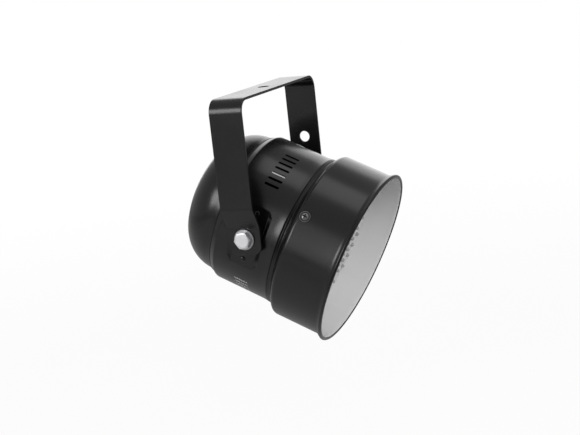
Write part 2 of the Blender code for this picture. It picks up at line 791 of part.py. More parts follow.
def dome_outline():
    """Return the dome's outside: skirt inside the body, lip at the seam, knuckle, crown."""
    skirt = shoulder_radius(BODY_REAR, SHEET) - SEAT_GAP
    front = BODY_REAR + DOME_SKIRT
    lip_front = BODY_REAR - SEAT_GAP
    lip_rear = lip_front - DOME_LIP_WIDTH
    lip = DOME_RADIUS + DOME_LIP_HEIGHT
    foot = DOME_RADIUS + DOME_LIP_HEIGHT / 3
    start = [(0.0, front), (skirt, front), (skirt, lip_front), (lip, lip_front),
             (lip, lip_rear), (foot, lip_rear - DOME_LIP_WIDTH / 2)]
    return start + dome_curve(0.0)


def dome_cavity_outline():
    """Return the dome's inside, run past its open front."""
    inner = DOME_RADIUS - SHEET
    front = BODY_REAR + DOME_SKIRT + CUT_OVERRUN
    return [(0.0, front), (inner, front)] + dome_curve(SHEET)


def crown_press(name, inset, parent):
    """Make the cutter that presses the flat control recess into the crown."""
    depth = CROWN_RADIUS - CROWN_CENTRE + CUT_OVERRUN
    floor = CROWN_FLOOR + inset
    size = (CROWN_RECESS_WIDTH + 2 * inset, CROWN_RECESS_HEIGHT + 2 * inset, depth + floor)
    return add_cutter(name, box_mesh(name, size, (0.0, 0.0, (floor - depth) / 2)), parent)


def xlr_places():
    return {"xlr_in": (-XLR_X, XLR_Y), "xlr_out": (XLR_X, XLR_Y)}


def crown_holes(parent):
    """Make the cutter of the holes for the two sockets and the switch block."""
    low = CROWN_FLOOR - CUT_OVERRUN
    high = CROWN_INNER_FLOOR + CUT_OVERRUN
    round_hole = cylinder_mesh("socket_hole", XLR_BARREL_RADIUS + SEAT_GAP, low, high)
    items = []
    for x, y in xlr_places().values():
        items.append((round_hole, Matrix.Translation((x, y, 0.0))))
    size = (DIP_WIDTH + 2 * SEAT_GAP, DIP_HEIGHT + 2 * SEAT_GAP, high - low)
    window = box_mesh("switch_window", size, (0.0, DIP_Y, (low + high) / 2))
    items.append((window, Matrix.Identity(4)))
    return add_cutter("crown_holes", gathered_mesh("crown_holes", items), parent)


def latch_notch(parent):
    """Make the cutter of the notch that clears the latch, at the edge of its socket's hole."""
    low = CROWN_FLOOR - CUT_OVERRUN
    high = CROWN_INNER_FLOOR + CUT_OVERRUN
    height = LATCH_OFFSET + LATCH_HEIGHT / 2 + RUNNING_GAP
    x, y = xlr_places()["xlr_out"]
    notch = box_mesh("latch_notch", (LATCH_WIDTH + 2 * RUNNING_GAP, height, high - low),
                     (x, y + height / 2, (low + high) / 2))
    return add_cutter("latch_notch", notch, parent)


def gland_placing():
    """Return the matrix that puts a gland piece on the dome, Z pointing out of it."""
    radius = GLAND_RADIUS_ON_DOME
    centre = DOME_RADIUS - KNUCKLE_RADIUS
    lean = math.acos((radius - centre) / KNUCKLE_RADIUS)
    depth = KNUCKLE_START - KNUCKLE_RADIUS * math.sin(lean)
    place = Matrix.Translation((0.0, radius, depth))
    turn = Matrix.Rotation(-math.pi / 2 - lean, 4, "X")
    return Matrix.Rotation(GLAND_ANGLE, 4, "Z") @ place @ turn


def gland_seat(name, inset, parent):
    """Make the cutter that presses the flat seat of the cable gland."""
    low = -GLAND_SEAT_DEPTH - inset
    disc = cylinder_mesh(name, GLAND_SEAT_RADIUS + inset, low, CUT_OVERRUN)
    return add_cutter(name, gathered_mesh(name, [(disc, gland_placing())]), parent)


def gland_hole(parent):
    """Make the cutter of the hole that the gland's thread passes through."""
    reach = GLAND_SEAT_DEPTH + SHEET + CUT_OVERRUN
    hole = cylinder_mesh("gland_hole", GLAND_THREAD_RADIUS + SEAT_GAP, -reach, CUT_OVERRUN)
    return add_cutter("gland_hole", gathered_mesh("gland_hole", [(hole, gland_placing())]), parent)


def rear_dome(parent):
    """Spin the dome, press its control recess and gland seat, and cut its holes."""
    obj = add_part("rear_dome", turned_mesh("rear_dome", dome_outline(), ROUND_SIDES),
                   black_paint(), parent)
    combine(obj, crown_press("crown_recess", 0.0, parent), "DIFFERENCE")
    combine(obj, gland_seat("gland_seat", 0.0, parent), "DIFFERENCE")
    hollow = turned_mesh("dome_cavity", dome_cavity_outline(), ROUND_SIDES)
    cavity = add_cutter("dome_cavity", hollow, parent)
    combine(cavity, crown_press("crown_recess_inside", SHEET, parent), "DIFFERENCE")
    combine(cavity, gland_seat("gland_seat_inside", SHEET, parent), "DIFFERENCE")
    combine(obj, cavity, "DIFFERENCE")
    combine(obj, crown_holes(parent), "DIFFERENCE")
    combine(obj, latch_notch(parent), "DIFFERENCE")
    combine(obj, gland_hole(parent), "DIFFERENCE")
    return obj


def collar_outline():
    """Return the collar's section: rolled bead, straight wall, cone and neck."""
    start = math.pi
    end = -BEAD_RISE_ANGLE
    bead = arc((BEAD_CENTRE_RADIUS, BEAD_CENTRE), BEAD_RADIUS, start, end, BEAD_STEPS)
    leave_radius, leave = bead[-1]
    rise = leave - (leave_radius - COLLAR_RADIUS) / math.tan(BEAD_RISE_ANGLE)
    outer = [(COLLAR_RADIUS, rise), (COLLAR_RADIUS, CONE_FRONT), (NECK_RADIUS, CONE_REAR),
             (NECK_RADIUS, NECK_REAR)]
    inner = offset_path(outer, -COLLAR_SHEET)
    inner[0] = (COLLAR_INNER_RADIUS, BEAD_CENTRE - BEAD_THROAT)
    small = CONE_CORNER_RADIUS
    large = CONE_CORNER_RADIUS + COLLAR_SHEET
    outside = rounded_path(outer, (large, small), COLLAR_CORNER_STEPS)
    inside = rounded_path(inner, (small, large), COLLAR_CORNER_STEPS)
    return bead + outside + list(reversed(inside))


def collar_holes(name, low, high, parent):
    """Make the cutter of the three screw holes between two radii."""
    hole = cylinder_mesh(name, COLLAR_SCREW_RADIUS + SHANK_GAP, low, high, SCREW_SIDES)
    base = Matrix.Translation((0.0, 0.0, COLLAR_SCREW_POSITION))
    base = base @ Matrix.Rotation(-math.pi / 2, 4, "X")
    items = [(hole, Matrix.Rotation(a, 4, "Z") @ base) for a in COLLAR_SCREW_ANGLES]
    return add_cutter(name, gathered_mesh(name, items), parent)


def front_collar(parent):
    """Spin the collar with its rolled rim, and drill it for its three screws."""
    mesh = turned_mesh("front_collar", collar_outline(), ROUND_SIDES, closed=True)
    obj = add_part("front_collar", mesh, black_paint(), parent)
    low = COLLAR_INNER_RADIUS - CUT_OVERRUN
    high = COLLAR_RADIUS + CUT_OVERRUN
    combine(obj, collar_holes("collar_holes", low, high, parent), "DIFFERENCE")
    return obj


def lamp_places():
    """Return the lamps' centres: every point of a triangular grid inside the field."""
    reach = math.ceil(LAMP_FIELD_RADIUS / LAMP_PITCH) + 2
    row = Matrix.Rotation(LAMP_ROW_ANGLE, 2)
    places = []
    for j in range(-reach, reach + 1):
        for i in range(-2 * reach, 2 * reach + 1):
            spot = Vector((i + j / 2, j * math.sqrt(3) / 2)) * LAMP_PITCH
            if spot.length <= LAMP_FIELD_RADIUS:
                places.append(row @ spot)
    return places


def lamp_mesh():
    """Return one lamp head, a low dome whose foot is sunk in the board."""
    outline = [
        (0.0, LAMP_HEIGHT),
        (LAMP_SHOULDER_RADIUS, LAMP_SHOULDER_HEIGHT),
        (LAMP_RADIUS, -BOARD_THICKNESS / 2),
        (0.0, -BOARD_THICKNESS / 2),
    ]
    return turned_mesh("lamp", outline, LAMP_SIDES)


def led_board(parent):
    """Make the white lamp board, with every lamp head soldered to it as one solid."""
    disc = cylinder_mesh("led_board", CARRIER_RADIUS, BOARD_REAR, BOARD_FRONT, ROUND_SIDES)
    obj = add_part("led_board", disc, white_solder_mask(), parent)
    lamp = lamp_mesh()
    items = [(lamp, Matrix.Translation((p.x, p.y, BOARD_FRONT))) for p in lamp_places()]
    lamps = add_cutter("lamp_field", gathered_mesh("lamp_field", items), parent)
    combine(obj, lamps, "UNION")
    return obj


def led_carrier(parent):
    """Spin the pan behind the lamp board: a rim that takes the screws and a windowed floor."""
    inner = CARRIER_RADIUS - CARRIER_SHEET
    floor = CARRIER_REAR + CARRIER_SHEET
    outline = [
        (CARRIER_RADIUS, CARRIER_FRONT),
        (CARRIER_RADIUS, CARRIER_REAR),
        (CARRIER_WINDOW_RADIUS, CARRIER_REAR),
        (CARRIER_WINDOW_RADIUS, floor),
        (inner, floor),
        (inner, CARRIER_FRONT),
    ]
    mesh = turned_mesh("led_carrier", outline, ROUND_SIDES, closed=True)
    obj = add_part("led_carrier", mesh, galvanised_sheet(), parent)
    low = inner - CUT_OVERRUN
    high = CARRIER_RADIUS + CUT_OVERRUN
    combine(obj, collar_holes("carrier_holes", low, high, parent), "DIFFERENCE")
    return obj


def led_spacers(parent):
    """Stand four spacers between the carrier's floor and the lamp board."""
    low = CARRIER_REAR + CARRIER_SHEET + SEAT_GAP
    high = BOARD_REAR - SEAT_GAP
    mesh = cylinder_mesh("led_spacer", SPACER_RADIUS, low, high, POST_SIDES)
    for i in range(SPACER_COUNT):
        angle = math.tau * (i + 0.5) / SPACER_COUNT
        obj = add_part(f"led_spacer_{i + 1}", mesh, nickel(), parent)
        obj.location = (-SPACER_CIRCLE * math.sin(angle), SPACER_CIRCLE * math.cos(angle), 0.0)


def collar_screw_mesh():
    """Return one pan head screw, its Z axis pointing out of the can."""
    seat = COLLAR_RADIUS + SEAT_GAP
    top = seat + COLLAR_SCREW_HEAD_HEIGHT
    head = COLLAR_SCREW_HEAD_RADIUS
    tip = CARRIER_RADIUS - CARRIER_SHEET - COLLAR_SCREW_REACH + COLLAR_SHEET
    outline = [
        (0.0, top),
        (head * 0.6, top - COLLAR_SCREW_HEAD_HEIGHT * 0.12),
        (head * 0.92, top - COLLAR_SCREW_HEAD_HEIGHT * 0.5),
        (head, seat),
        (COLLAR_SCREW_RADIUS, seat),
        (COLLAR_SCREW_RADIUS, tip + COLLAR_SCREW_RADIUS),
        (0.0, tip),
    ]
    return turned_mesh("collar_screw", outline, SCREW_SIDES)


def collar_screws(parent):
    """Drive the three screws that hold the collar to the lamp carrier."""
    mesh = collar_screw_mesh()
    for i, angle in enumerate(COLLAR_SCREW_ANGLES):
        obj = add_part(f"collar_screw_{i + 1}", mesh, black_screw_steel(), parent)
        obj.location = (0.0, 0.0, COLLAR_SCREW_POSITION)
        obj.rotation_euler = facing_out(angle)


def pivot_bolt_mesh():
    """Return the hexagon bolt that clamps one arm, its Z axis pointing out of the can."""
    radius = BOLT_ACROSS_FLATS / 2 / math.cos(math.pi / 6)
    blank = hex_mesh("pivot_bolt", BOLT_ACROSS_FLATS, BOLT_HEAD_INNER, BOLT_HEAD_OUTER)
    chamfer = [
        (0.0, BOLT_HEAD_OUTER),
        (radius - 2 * BOLT_CHAMFER, BOLT_HEAD_OUTER),
        (radius, BOLT_HEAD_OUTER - BOLT_CHAMFER),
        (radius, BOLT_HEAD_INNER),
        (0.0, BOLT_HEAD_INNER),
    ]
    limit = turned_mesh("bolt_chamfer", chamfer, TRIM_SIDES)
    head = boolean_mesh(blank, limit, "INTERSECT")
    tip = NUT_INNER - BOLT_TAIL
    middle = (BOLT_HEAD_INNER + BOLT_HEAD_OUTER) / 2
    return join_mesh(head, cylinder_mesh("bolt_shank", BOLT_RADIUS, tip, middle))


def stiffener_mesh():
    """Return the plate that backs one flat recess, drilled for the bolt and the rivets."""
    size = (2 * STIFFENER_HALF_LENGTH, 2 * STIFFENER_HALF_HEIGHT, STIFFENER_THICKNESS)
    plate = box_mesh("stiffener", size, (0.0, 0.0, (STIFFENER_INNER + STIFFENER_OUTER) / 2))
    holes = pivot_floor_holes("stiffener_holes", STIFFENER_INNER - CUT_OVERRUN,
                              STIFFENER_OUTER + CUT_OVERRUN)
    return cut_mesh(plate, holes)


def rivet_mesh():
    """Return one rivet, with its set head inside the can and its domed head outside."""
    outer_seat = RECESS_FLOOR + SEAT_GAP
    inner_seat = STIFFENER_INNER - SEAT_GAP
    top = outer_seat + RIVET_HEAD_HEIGHT
    foot = inner_seat - RIVET_HEAD_HEIGHT
    outline = [
        (0.0, top),
        (RIVET_HEAD_RADIUS * 0.7, top - RIVET_HEAD_HEIGHT * 0.3),
        (RIVET_HEAD_RADIUS, outer_seat),
        (RIVET_SHANK_RADIUS, outer_seat),
        (RIVET_SHANK_RADIUS, inner_seat),
        (RIVET_HEAD_RADIUS, inner_seat),
        (RIVET_HEAD_RADIUS * 0.8, foot),
        (0.0, foot),
    ]
    return turned_mesh("rivet", outline, POST_SIDES)


def pivot_hardware(parent):
    """Fit each pivot with its washer, bolt, friction bush, stiffener, nut and rivets."""
    washer = ring_mesh("pivot_washer", BOLT_HOLE_RADIUS, WASHER_RADIUS, WASHER_INNER,
                       WASHER_OUTER)
    bush = ring_mesh("pivot_bush", BOLT_HOLE_RADIUS, BUSH_RADIUS, RECESS_FLOOR + SEAT_GAP,
                     PAD_INNER - RUNNING_GAP)
    nut = hex_mesh("pivot_nut", BOLT_ACROSS_FLATS, NUT_INNER, NUT_OUTER, BOLT_HOLE_RADIUS)
    pieces = (
        ("pivot_bolt", pivot_bolt_mesh(), zinc_steel()),
        ("pivot_washer", washer, zinc_steel()),
        ("pivot_bush", bush, black_rubber()),
        ("pivot_stiffener", stiffener_mesh(), galvanised_sheet()),
        ("pivot_nut", nut, zinc_steel()),
    )
    rivet = rivet_mesh()
    for side in (-1, 1):
        for name, mesh, material in pieces:
            obj = add_part(f"{name}_{side_name(side)}", mesh, material, parent)
            obj.rotation_euler = facing_side(side)
        for label, place in (("upper", RIVET_OFFSET), ("lower", -RIVET_OFFSET)):
            obj = add_part(f"rivet_{side_name(side)}_{label}", rivet, black_paint(), parent)
            obj.rotation_euler = facing_side(side)
            obj.location = (0.0, place, 0.0)


def driver_post_places():
    """Return the four places of the driver board's posts."""
    x = DRIVER_WIDTH / 2 - DRIVER_POST_INSET
    y = DRIVER_HEIGHT / 2 - DRIVER_POST_INSET
    return [(sx * x, sy * y) for sx in (-1, 1) for sy in (-1, 1)]


def driver_board(parent):
    """Hang the driver board on four posts behind the lamp carrier."""
    middle = (DRIVER_FRONT + DRIVER_REAR) / 2
    size = (DRIVER_WIDTH, DRIVER_HEIGHT, BOARD_THICKNESS)
    add_part("driver_board", box_mesh("driver_board", size, (0.0, 0.0, middle)),
             circuit_board(), parent)
    low = DRIVER_FRONT + SEAT_GAP
    post = cylinder_mesh("driver_post", DRIVER_POST_RADIUS, low, low + DRIVER_POST_LENGTH,
                         POST_SIDES)
    for i, (x, y) in enumerate(driver_post_places()):
        obj = add_part(f"driver_post_{i + 1}", post, nickel(), parent)
        obj.location = (x, y, 0.0)


def transformer(parent):
    """Stand the supply transformer on the driver board: a core with its coil proud of it."""
    top = DRIVER_REAR - SEAT_GAP
    low = top - TRANSFORMER_DEPTH
    middle = (TRANSFORMER_X, 0.0, (top + low) / 2)
    core = box_mesh("transformer", (TRANSFORMER_WIDTH, TRANSFORMER_HEIGHT * 0.55,
                                    TRANSFORMER_DEPTH), middle)
    coil = box_mesh("transformer_coil", (TRANSFORMER_WIDTH * 0.6, TRANSFORMER_HEIGHT,
                                         TRANSFORMER_DEPTH * 0.7), middle)
    add_part("transformer", join_mesh(core, coil), core_steel(), parent)


def capacitors(parent):
    """Stand the two smoothing capacitors on the driver board."""
    top = DRIVER_REAR - SEAT_GAP
    mesh = cylinder_mesh("capacitor", CAPACITOR_RADIUS, top - CAPACITOR_LENGTH, top)
    for label, y in (("upper", CAPACITOR_Y), ("lower", -CAPACITOR_Y)):
        obj = add_part(f"capacitor_{label}", mesh, aluminium(), parent)
        obj.location = (CAPACITOR_X, y, 0.0)


def heat_sink(parent):
    """Stand the finned heat sink on the driver board."""
    top = DRIVER_REAR - SEAT_GAP
    base_low = top - HEAT_SINK_BASE
    low = base_low - HEAT_SINK_FIN
    base = box_mesh("heat_sink", (HEAT_SINK_WIDTH, HEAT_SINK_HEIGHT, HEAT_SINK_BASE),
                    (0.0, 0.0, (top + base_low) / 2))
    fin_size = (HEAT_SINK_FIN_THICKNESS, HEAT_SINK_HEIGHT, top - low - HEAT_SINK_BASE / 2)
    fin = box_mesh("fin", fin_size, (0.0, 0.0, (low + top - HEAT_SINK_BASE / 2) / 2))
    span = HEAT_SINK_WIDTH - HEAT_SINK_FIN_THICKNESS
    step = span / (HEAT_SINK_FIN_COUNT - 1)
    items = [(fin, Matrix.Translation((i * step - span / 2, 0.0, 0.0)))
             for i in range(HEAT_SINK_FIN_COUNT)]
    obj = add_part("heat_sink", join_mesh(base, gathered_mesh("fins", items)), aluminium(),
                   parent)
    obj.location = (HEAT_SINK_X, 0.0, 0.0)


def xlr_shell_mesh(name, with_latch):
    """Return a chassis socket with Z pointing into the can: flange, barrel and round bore."""
    flange = plate_mesh(name, XLR_FLANGE_WIDTH, XLR_FLANGE_HEIGHT, XLR_FLANGE_CORNER, XLR_FACE,
                        XLR_FLANGE_REAR)
    middle = (XLR_FACE + XLR_FLANGE_REAR) / 2
    barrel = cylinder_mesh("barrel", XLR_BARREL_RADIUS, middle, XLR_INNER_END)
    shell = join_mesh(flange, barrel)
    mouth = XLR_FACE - CUT_OVERRUN
    shell = cut_mesh(shell, cylinder_mesh("bore", XLR_BORE_RADIUS, mouth,
                                          XLR_FACE + XLR_BORE_DEPTH))
    if with_latch:
        size = (LATCH_WIDTH + 2 * RUNNING_GAP, LATCH_HEIGHT + 2 * RUNNING_GAP,
                2 * XLR_FLANGE_THICKNESS + CUT_OVERRUN)
        shell = cut_mesh(shell, box_mesh("latch_window", size, (0.0, LATCH_OFFSET, XLR_FACE)))
    return shell


def xlr_pins_mesh():
    """Return the three contact pins of the male socket, standing on the bore's floor."""
    floor = XLR_FACE + XLR_BORE_DEPTH
    pin = cylinder_mesh("pin", XLR_PIN_RADIUS, floor - XLR_PIN_LENGTH,
                        floor + XLR_PIN_RADIUS, POST_SIDES)
    items = []
    for angle in (-math.pi / 2, 0.0, math.pi / 2):
        spot = (XLR_PIN_CIRCLE * math.sin(angle), -XLR_PIN_CIRCLE * math.cos(angle), 0.0)
        items.append((pin, Matrix.Translation(spot)))
    return gathered_mesh("pins", items)


def xlr_core_mesh():
    """Return the female socket's insert, with three contact holes."""
    floor = XLR_FACE + XLR_BORE_DEPTH
    face = XLR_FACE + XLR_FLANGE_THICKNESS
    core = cylinder_mesh("core", XLR_CORE_RADIUS, face, floor + XLR_PIN_RADIUS)
    hole = cylinder_mesh("contact", XLR_PIN_RADIUS, face - CUT_OVERRUN, floor - SHEET,
                         POST_SIDES)
    items = []
    for angle in (-math.pi / 2, 0.0, math.pi / 2):
        spot = (XLR_PIN_CIRCLE * math.sin(angle), -XLR_PIN_CIRCLE * math.cos(angle), 0.0)
        items.append((hole, Matrix.Translation(spot)))
    return cut_mesh(core, gathered_mesh("contacts", items))


def xlr_sockets(parent):
    """Fit the male and female data sockets in the crown, and the female one's latch."""
    places = xlr_places()
    male = join_mesh(xlr_shell_mesh("xlr_in", False), xlr_pins_mesh())
    female = join_mesh(xlr_shell_mesh("xlr_out", True), xlr_core_mesh())
    for name, mesh in (("xlr_in", male), ("xlr_out", female)):
        obj = add_part(name, mesh, nickel(), parent)
        obj.location = (*places[name], 0.0)
    low = XLR_FACE - LATCH_PROUD
    size = (LATCH_WIDTH, LATCH_HEIGHT, LATCH_PROUD + LATCH_DEPTH)
    mesh = box_mesh("xlr_latch", size, (0.0, LATCH_OFFSET, low + size[2] / 2))
    obj = add_part("xlr_latch", mesh, nickel(), parent)
    obj.location = (*places["xlr_out"], 0.0)


def dip_places():
    """Return the offsets along X of the switch block's slots."""
    return [(i - (DIP_COUNT - 1) / 2) * DIP_PITCH for i in range(DIP_COUNT)]


def dip_switch(parent):
    """Fit the address switch block and its sliders, all at their lower end."""
    face = CROWN_FLOOR - DIP_PROUD
    body = box_mesh("dip_block", (DIP_WIDTH, DIP_HEIGHT, DIP_DEPTH),
                    (0.0, DIP_Y, face + DIP_DEPTH / 2))
    size = (DIP_SLOT_WIDTH, DIP_SLOT_LENGTH, 2 * DIP_SLOT_DEPTH)
    slot = box_mesh("dip_slot", size, (0.0, DIP_Y, face))
    items = [(slot, Matrix.Translation((x, 0.0, 0.0))) for x in dip_places()]
    add_part("dip_block", cut_mesh(body, gathered_mesh("dip_slots", items)), red_plastic(),
             parent)
    low = face - SLIDER_PROUD
    high = face + DIP_SLOT_DEPTH - SEAT_GAP
    slider = box_mesh("dip_slider", (SLIDER_WIDTH, SLIDER_LENGTH, high - low),
                      (0.0, 0.0, (low + high) / 2))
    for i, x in enumerate(dip_places()):
        obj = add_part(f"dip_slider_{i + 1:02d}", slider, white_plastic(), parent)
        obj.location = (x, DIP_Y - SLIDER_TRAVEL / 2, 0.0)


def control_board(parent):
    """Seat the control board on the backs of the two sockets that it is soldered to."""
    low = CONTROL_BOARD_REAR
    mesh = plate_mesh("control_board", CONTROL_BOARD_WIDTH, CONTROL_BOARD_HEIGHT,
                      XLR_FLANGE_CORNER, low, low + BOARD_THICKNESS)
    add_part("control_board", mesh, circuit_board(), parent)


def switch_board(parent):
    """Stand the switch block's own board on two short posts off the crown's flat."""
    low = CROWN_FLOOR - DIP_PROUD + DIP_DEPTH + SEAT_GAP
    size = (SWITCH_BOARD_WIDTH, SWITCH_BOARD_HEIGHT, BOARD_THICKNESS)
    mesh = box_mesh("switch_board", size, (0.0, DIP_Y, low + BOARD_THICKNESS / 2))
    add_part("switch_board", mesh, circuit_board(), parent)
    post = cylinder_mesh("switch_post", SWITCH_POST_RADIUS, CROWN_INNER_FLOOR + SEAT_GAP,
                         low - SEAT_GAP, POST_SIDES)
    for i, side in enumerate((-1, 1)):
        obj = add_part(f"switch_post_{i + 1}", post, nickel(), parent)
        obj.location = (side * SWITCH_POST_X, DIP_Y, 0.0)


def gland_pieces(parent):
    """Fit the cable gland on its seat and its lock nut inside the dome."""
    seat = -GLAND_SEAT_DEPTH + SEAT_GAP
    flange = hex_mesh("cable_gland", GLAND_ACROSS_FLATS, seat, seat + GLAND_FLANGE_HEIGHT)
    cap_low = seat + GLAND_FLANGE_HEIGHT / 2
    cap_high = seat + GLAND_FLANGE_HEIGHT + GLAND_CAP_HEIGHT
    cap = [
        (0.0, cap_high),
        (GLAND_CAP_RADIUS * 0.6, cap_high),
        (GLAND_CAP_RADIUS * 0.9, cap_high - GLAND_CAP_HEIGHT * 0.25),
        (GLAND_CAP_RADIUS, cap_high - GLAND_CAP_HEIGHT * 0.55),
        (GLAND_CAP_RADIUS, cap_low),
        (0.0, cap_low),
    ]
    body = join_mesh(flange, turned_mesh("gland_cap", cap, TRIM_SIDES))
    thread = cylinder_mesh("gland_thread", GLAND_THREAD_RADIUS, -GLAND_TAIL - GLAND_SEAT_DEPTH,
                           seat + GLAND_FLANGE_HEIGHT / 2)
    body = join_mesh(body, thread)
    bore = cylinder_mesh("gland_bore", GLAND_BORE_RADIUS,
                         -GLAND_TAIL - GLAND_SEAT_DEPTH - CUT_OVERRUN, cap_high + CUT_OVERRUN)
    add_part("cable_gland", cut_mesh(body, bore), black_nylon(), parent)
    nut_high = -GLAND_SEAT_DEPTH - SHEET - SEAT_GAP
    nut = hex_mesh("gland_nut", GLAND_ACROSS_FLATS, nut_high - GLAND_NUT_HEIGHT, nut_high,
                   GLAND_THREAD_RADIUS + SEAT_GAP)
    add_part("gland_nut", nut, black_nylon(), parent)
    for name in ("cable_gland", "gland_nut"):
        bpy.data.objects[name].matrix_local = gland_placing()


def settle(obj):
    """Apply an object's modifiers and shade its round faces smooth."""
    mesh = evaluated_mesh(obj)
    obj.modifiers.clear()
    obj.data = mesh
    mesh.shade_smooth()
    mesh.set_sharp_from_angle(angle=SMOOTH_ANGLE)


def build():
    clear_scene()
    can = tilt_axis()
    yoke_bracket()
    body_shell(can)
    rear_dome(can)
    front_collar(can)
    led_board(can)
    led_carrier(can)
    led_spacers(can)
    collar_screws(can)
    pivot_hardware(can)
    driver_board(can)
    transformer(can)
    capacitors(can)
    heat_sink(can)
    xlr_sockets(can)
    dip_switch(can)
    control_board(can)
    switch_board(can)
    gland_pieces(can)
    for obj in collection(PARTS_NAME).objects:
        if obj.type == "MESH":
            settle(obj)


build()
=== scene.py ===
"""Looks of the led par can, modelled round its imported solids.

All sizes are in metres. The origin is the middle of the hanging hole and +Z is up. The can's
pieces are modelled in the can's own frame and then put in place: there X runs along the pivot
axis, Y is the can's upper side and Z is the beam.
"""

from __future__ import annotations

import json
import logging
import math
from contextlib import contextmanager
from dataclasses import dataclass, field
from enum import Enum
from typing import Any, Callable, Iterable, Iterator, Mapping, Sequence

import bmesh
import bpy
from mathutils import Matrix, Vector


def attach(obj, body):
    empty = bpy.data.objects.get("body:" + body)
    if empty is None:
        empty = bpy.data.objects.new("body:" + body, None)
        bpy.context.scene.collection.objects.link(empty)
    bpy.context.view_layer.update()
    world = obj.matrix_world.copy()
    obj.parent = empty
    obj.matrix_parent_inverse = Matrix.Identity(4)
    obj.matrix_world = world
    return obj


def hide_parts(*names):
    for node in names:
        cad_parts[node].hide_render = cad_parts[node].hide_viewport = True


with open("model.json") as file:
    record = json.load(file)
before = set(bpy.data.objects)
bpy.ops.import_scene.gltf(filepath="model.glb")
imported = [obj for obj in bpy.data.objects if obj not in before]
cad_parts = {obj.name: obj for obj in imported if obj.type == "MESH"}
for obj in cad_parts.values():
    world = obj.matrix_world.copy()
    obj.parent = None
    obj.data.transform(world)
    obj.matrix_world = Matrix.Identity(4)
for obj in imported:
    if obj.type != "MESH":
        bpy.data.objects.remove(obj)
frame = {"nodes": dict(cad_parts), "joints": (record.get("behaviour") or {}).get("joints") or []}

LOG = logging.getLogger("led_par_can")

Point = tuple[float, float]
Colour = tuple[float, float, float]
WHITE: Colour = (1.0, 1.0, 1.0)
QUARTER = math.pi / 2
HEX_CORNER = math.cos(math.pi / 6)
ROW_SHARE = math.sqrt(3) / 2

# How far a drill runs past the sheet, and how near doubles lie
REACH = 0.02
MERGE = 0.000005

# The lamps' triangular grid, which the tracks on the board follow
LAMP_PITCH = 0.0140
LAMP_TURN = math.radians(10.6)

TILT_JOINT = next(j for j in frame["joints"] if j["name"] == "tilt")
BEAM_JOINT = next(j for j in frame["joints"] if j["name"] == "latch_press")
PIVOT = Vector(TILT_JOINT["pos_m"])
BEAM = Vector(BEAM_JOINT["axis"]).normalized()
CAN_TURN = math.atan2(-BEAM.y, BEAM.z)
CAN = Matrix.Translation(PIVOT) @ Matrix.Rotation(CAN_TURN, 4, "X")


class Side(Enum):
    """The two ends of the pivot axis."""

    NEAR = -1
    FAR = 1

    @property
    def label(self) -> str:
        """The side's name in the CAD nodes' names."""
        return self.name.lower()


class Pick(Enum):
    """What an edit mode selection is made of."""

    VERT = "VERT"
    EDGE = "EDGE"
    FACE = "FACE"


def arc(centre: Point, radius: float, start: float, end: float, steps: int) -> list[Point]:
    """Returns points of an arc.

    Args:
        centre: The arc's centre.
        radius: The arc's radius.
        start: Its first angle.
        end: Its last angle.
        steps: How many parts it has.

    Returns:
        The points, both ends included.
    """
    turns = (start + (end - start) * i / steps for i in range(steps + 1))
    return [(centre[0] + radius * math.cos(a), centre[1] + radius * math.sin(a)) for a in turns]


def rounded(corners: Sequence[Point], radii: Sequence[float], steps: int = 6) -> list[Point]:
    """Turns the inner corners of a path into arcs.

    Args:
        corners: The path's corner points.
        radii: One radius for each inner corner.
        steps: How many parts each arc has.

    Returns:
        The points of the rounded path.
    """
    path = [corners[0]]
    for before, corner, after, radius in zip(corners, corners[1:], corners[2:], radii):
        here = Vector(corner)
        back = (Vector(before) - here).normalized()
        ahead = (Vector(after) - here).normalized()
        half = back.angle(ahead) / 2
        centre = here + (back + ahead).normalized() * (radius / math.sin(half))
        first = here + back * (radius / math.tan(half)) - centre
        turn = math.pi - 2 * half
        if first.x * back.y - first.y * back.x > 0:
            turn = -turn
        start = math.atan2(first.y, first.x)
        path += arc((centre.x, centre.y), radius, start, start + turn, steps)
    return path + [corners[-1]]


def offset(corners: Sequence[Point], distance: float) -> list[Point]:
    """Moves a path sideways to its left, with mitred corners.

    Args:
        corners: The path's corner points.
        distance: How far it moves.

    Returns:
        The corner points of the moved path.
    """
    moved = []
    last = len(corners) - 1
    for i, corner in enumerate(corners):
        before = Vector(corner) - Vector(corners[max(i - 1, 0)])
        after = Vector(corners[min(i + 1, last)]) - Vector(corner)
        before = (before if i else after).normalized()
        after = (after if i < last else before).normalized()
        side = Vector((-after.y, after.x))
        normal = (Vector((-before.y, before.x)) + side).normalized()
        reach = distance / normal.dot(side)
        moved.append((corner[0] + normal.x * reach, corner[1] + normal.y * reach))
    return moved


def operator(operation: str, swapped: bool = False) -> Callable[[Any, Any], Wire]:
    """Makes a method of Wire that adds one Math node.

    Args:
        operation: The Math node's operation.
        swapped: Whether the wire is the second of the two values.

    Returns:
        The method.
    """
    def act(wire: Wire, other: Any) -> Wire:
        """Adds the node and returns its value."""
        pair = (other, wire) if swapped else (wire, other)
        return wire.graph.node("ShaderNodeMath", {"operation": operation}, dict(enumerate(pair)))

    return act


class Wire:
    """A shader socket that takes part in Python arithmetic, one Math node an operation."""

    __add__ = __radd__ = operator("ADD")
    __sub__ = operator("SUBTRACT")
    __rsub__ = operator("SUBTRACT", swapped=True)
    __mul__ = __rmul__ = operator("MULTIPLY")
    __truediv__ = operator("DIVIDE")
    __rtruediv__ = operator("DIVIDE", swapped=True)
    at_least = operator("MAXIMUM")
    at_most = operator("MINIMUM")

    def __init__(self, graph: Graph, socket: bpy.types.NodeSocket) -> None:
        """Holds one socket of a graph."""
        self.graph = graph
        self.socket = socket

    def clamped(self) -> Wire:
        """This value held between 0 and 1."""
        return self.at_least(0.0).at_most(1.0)


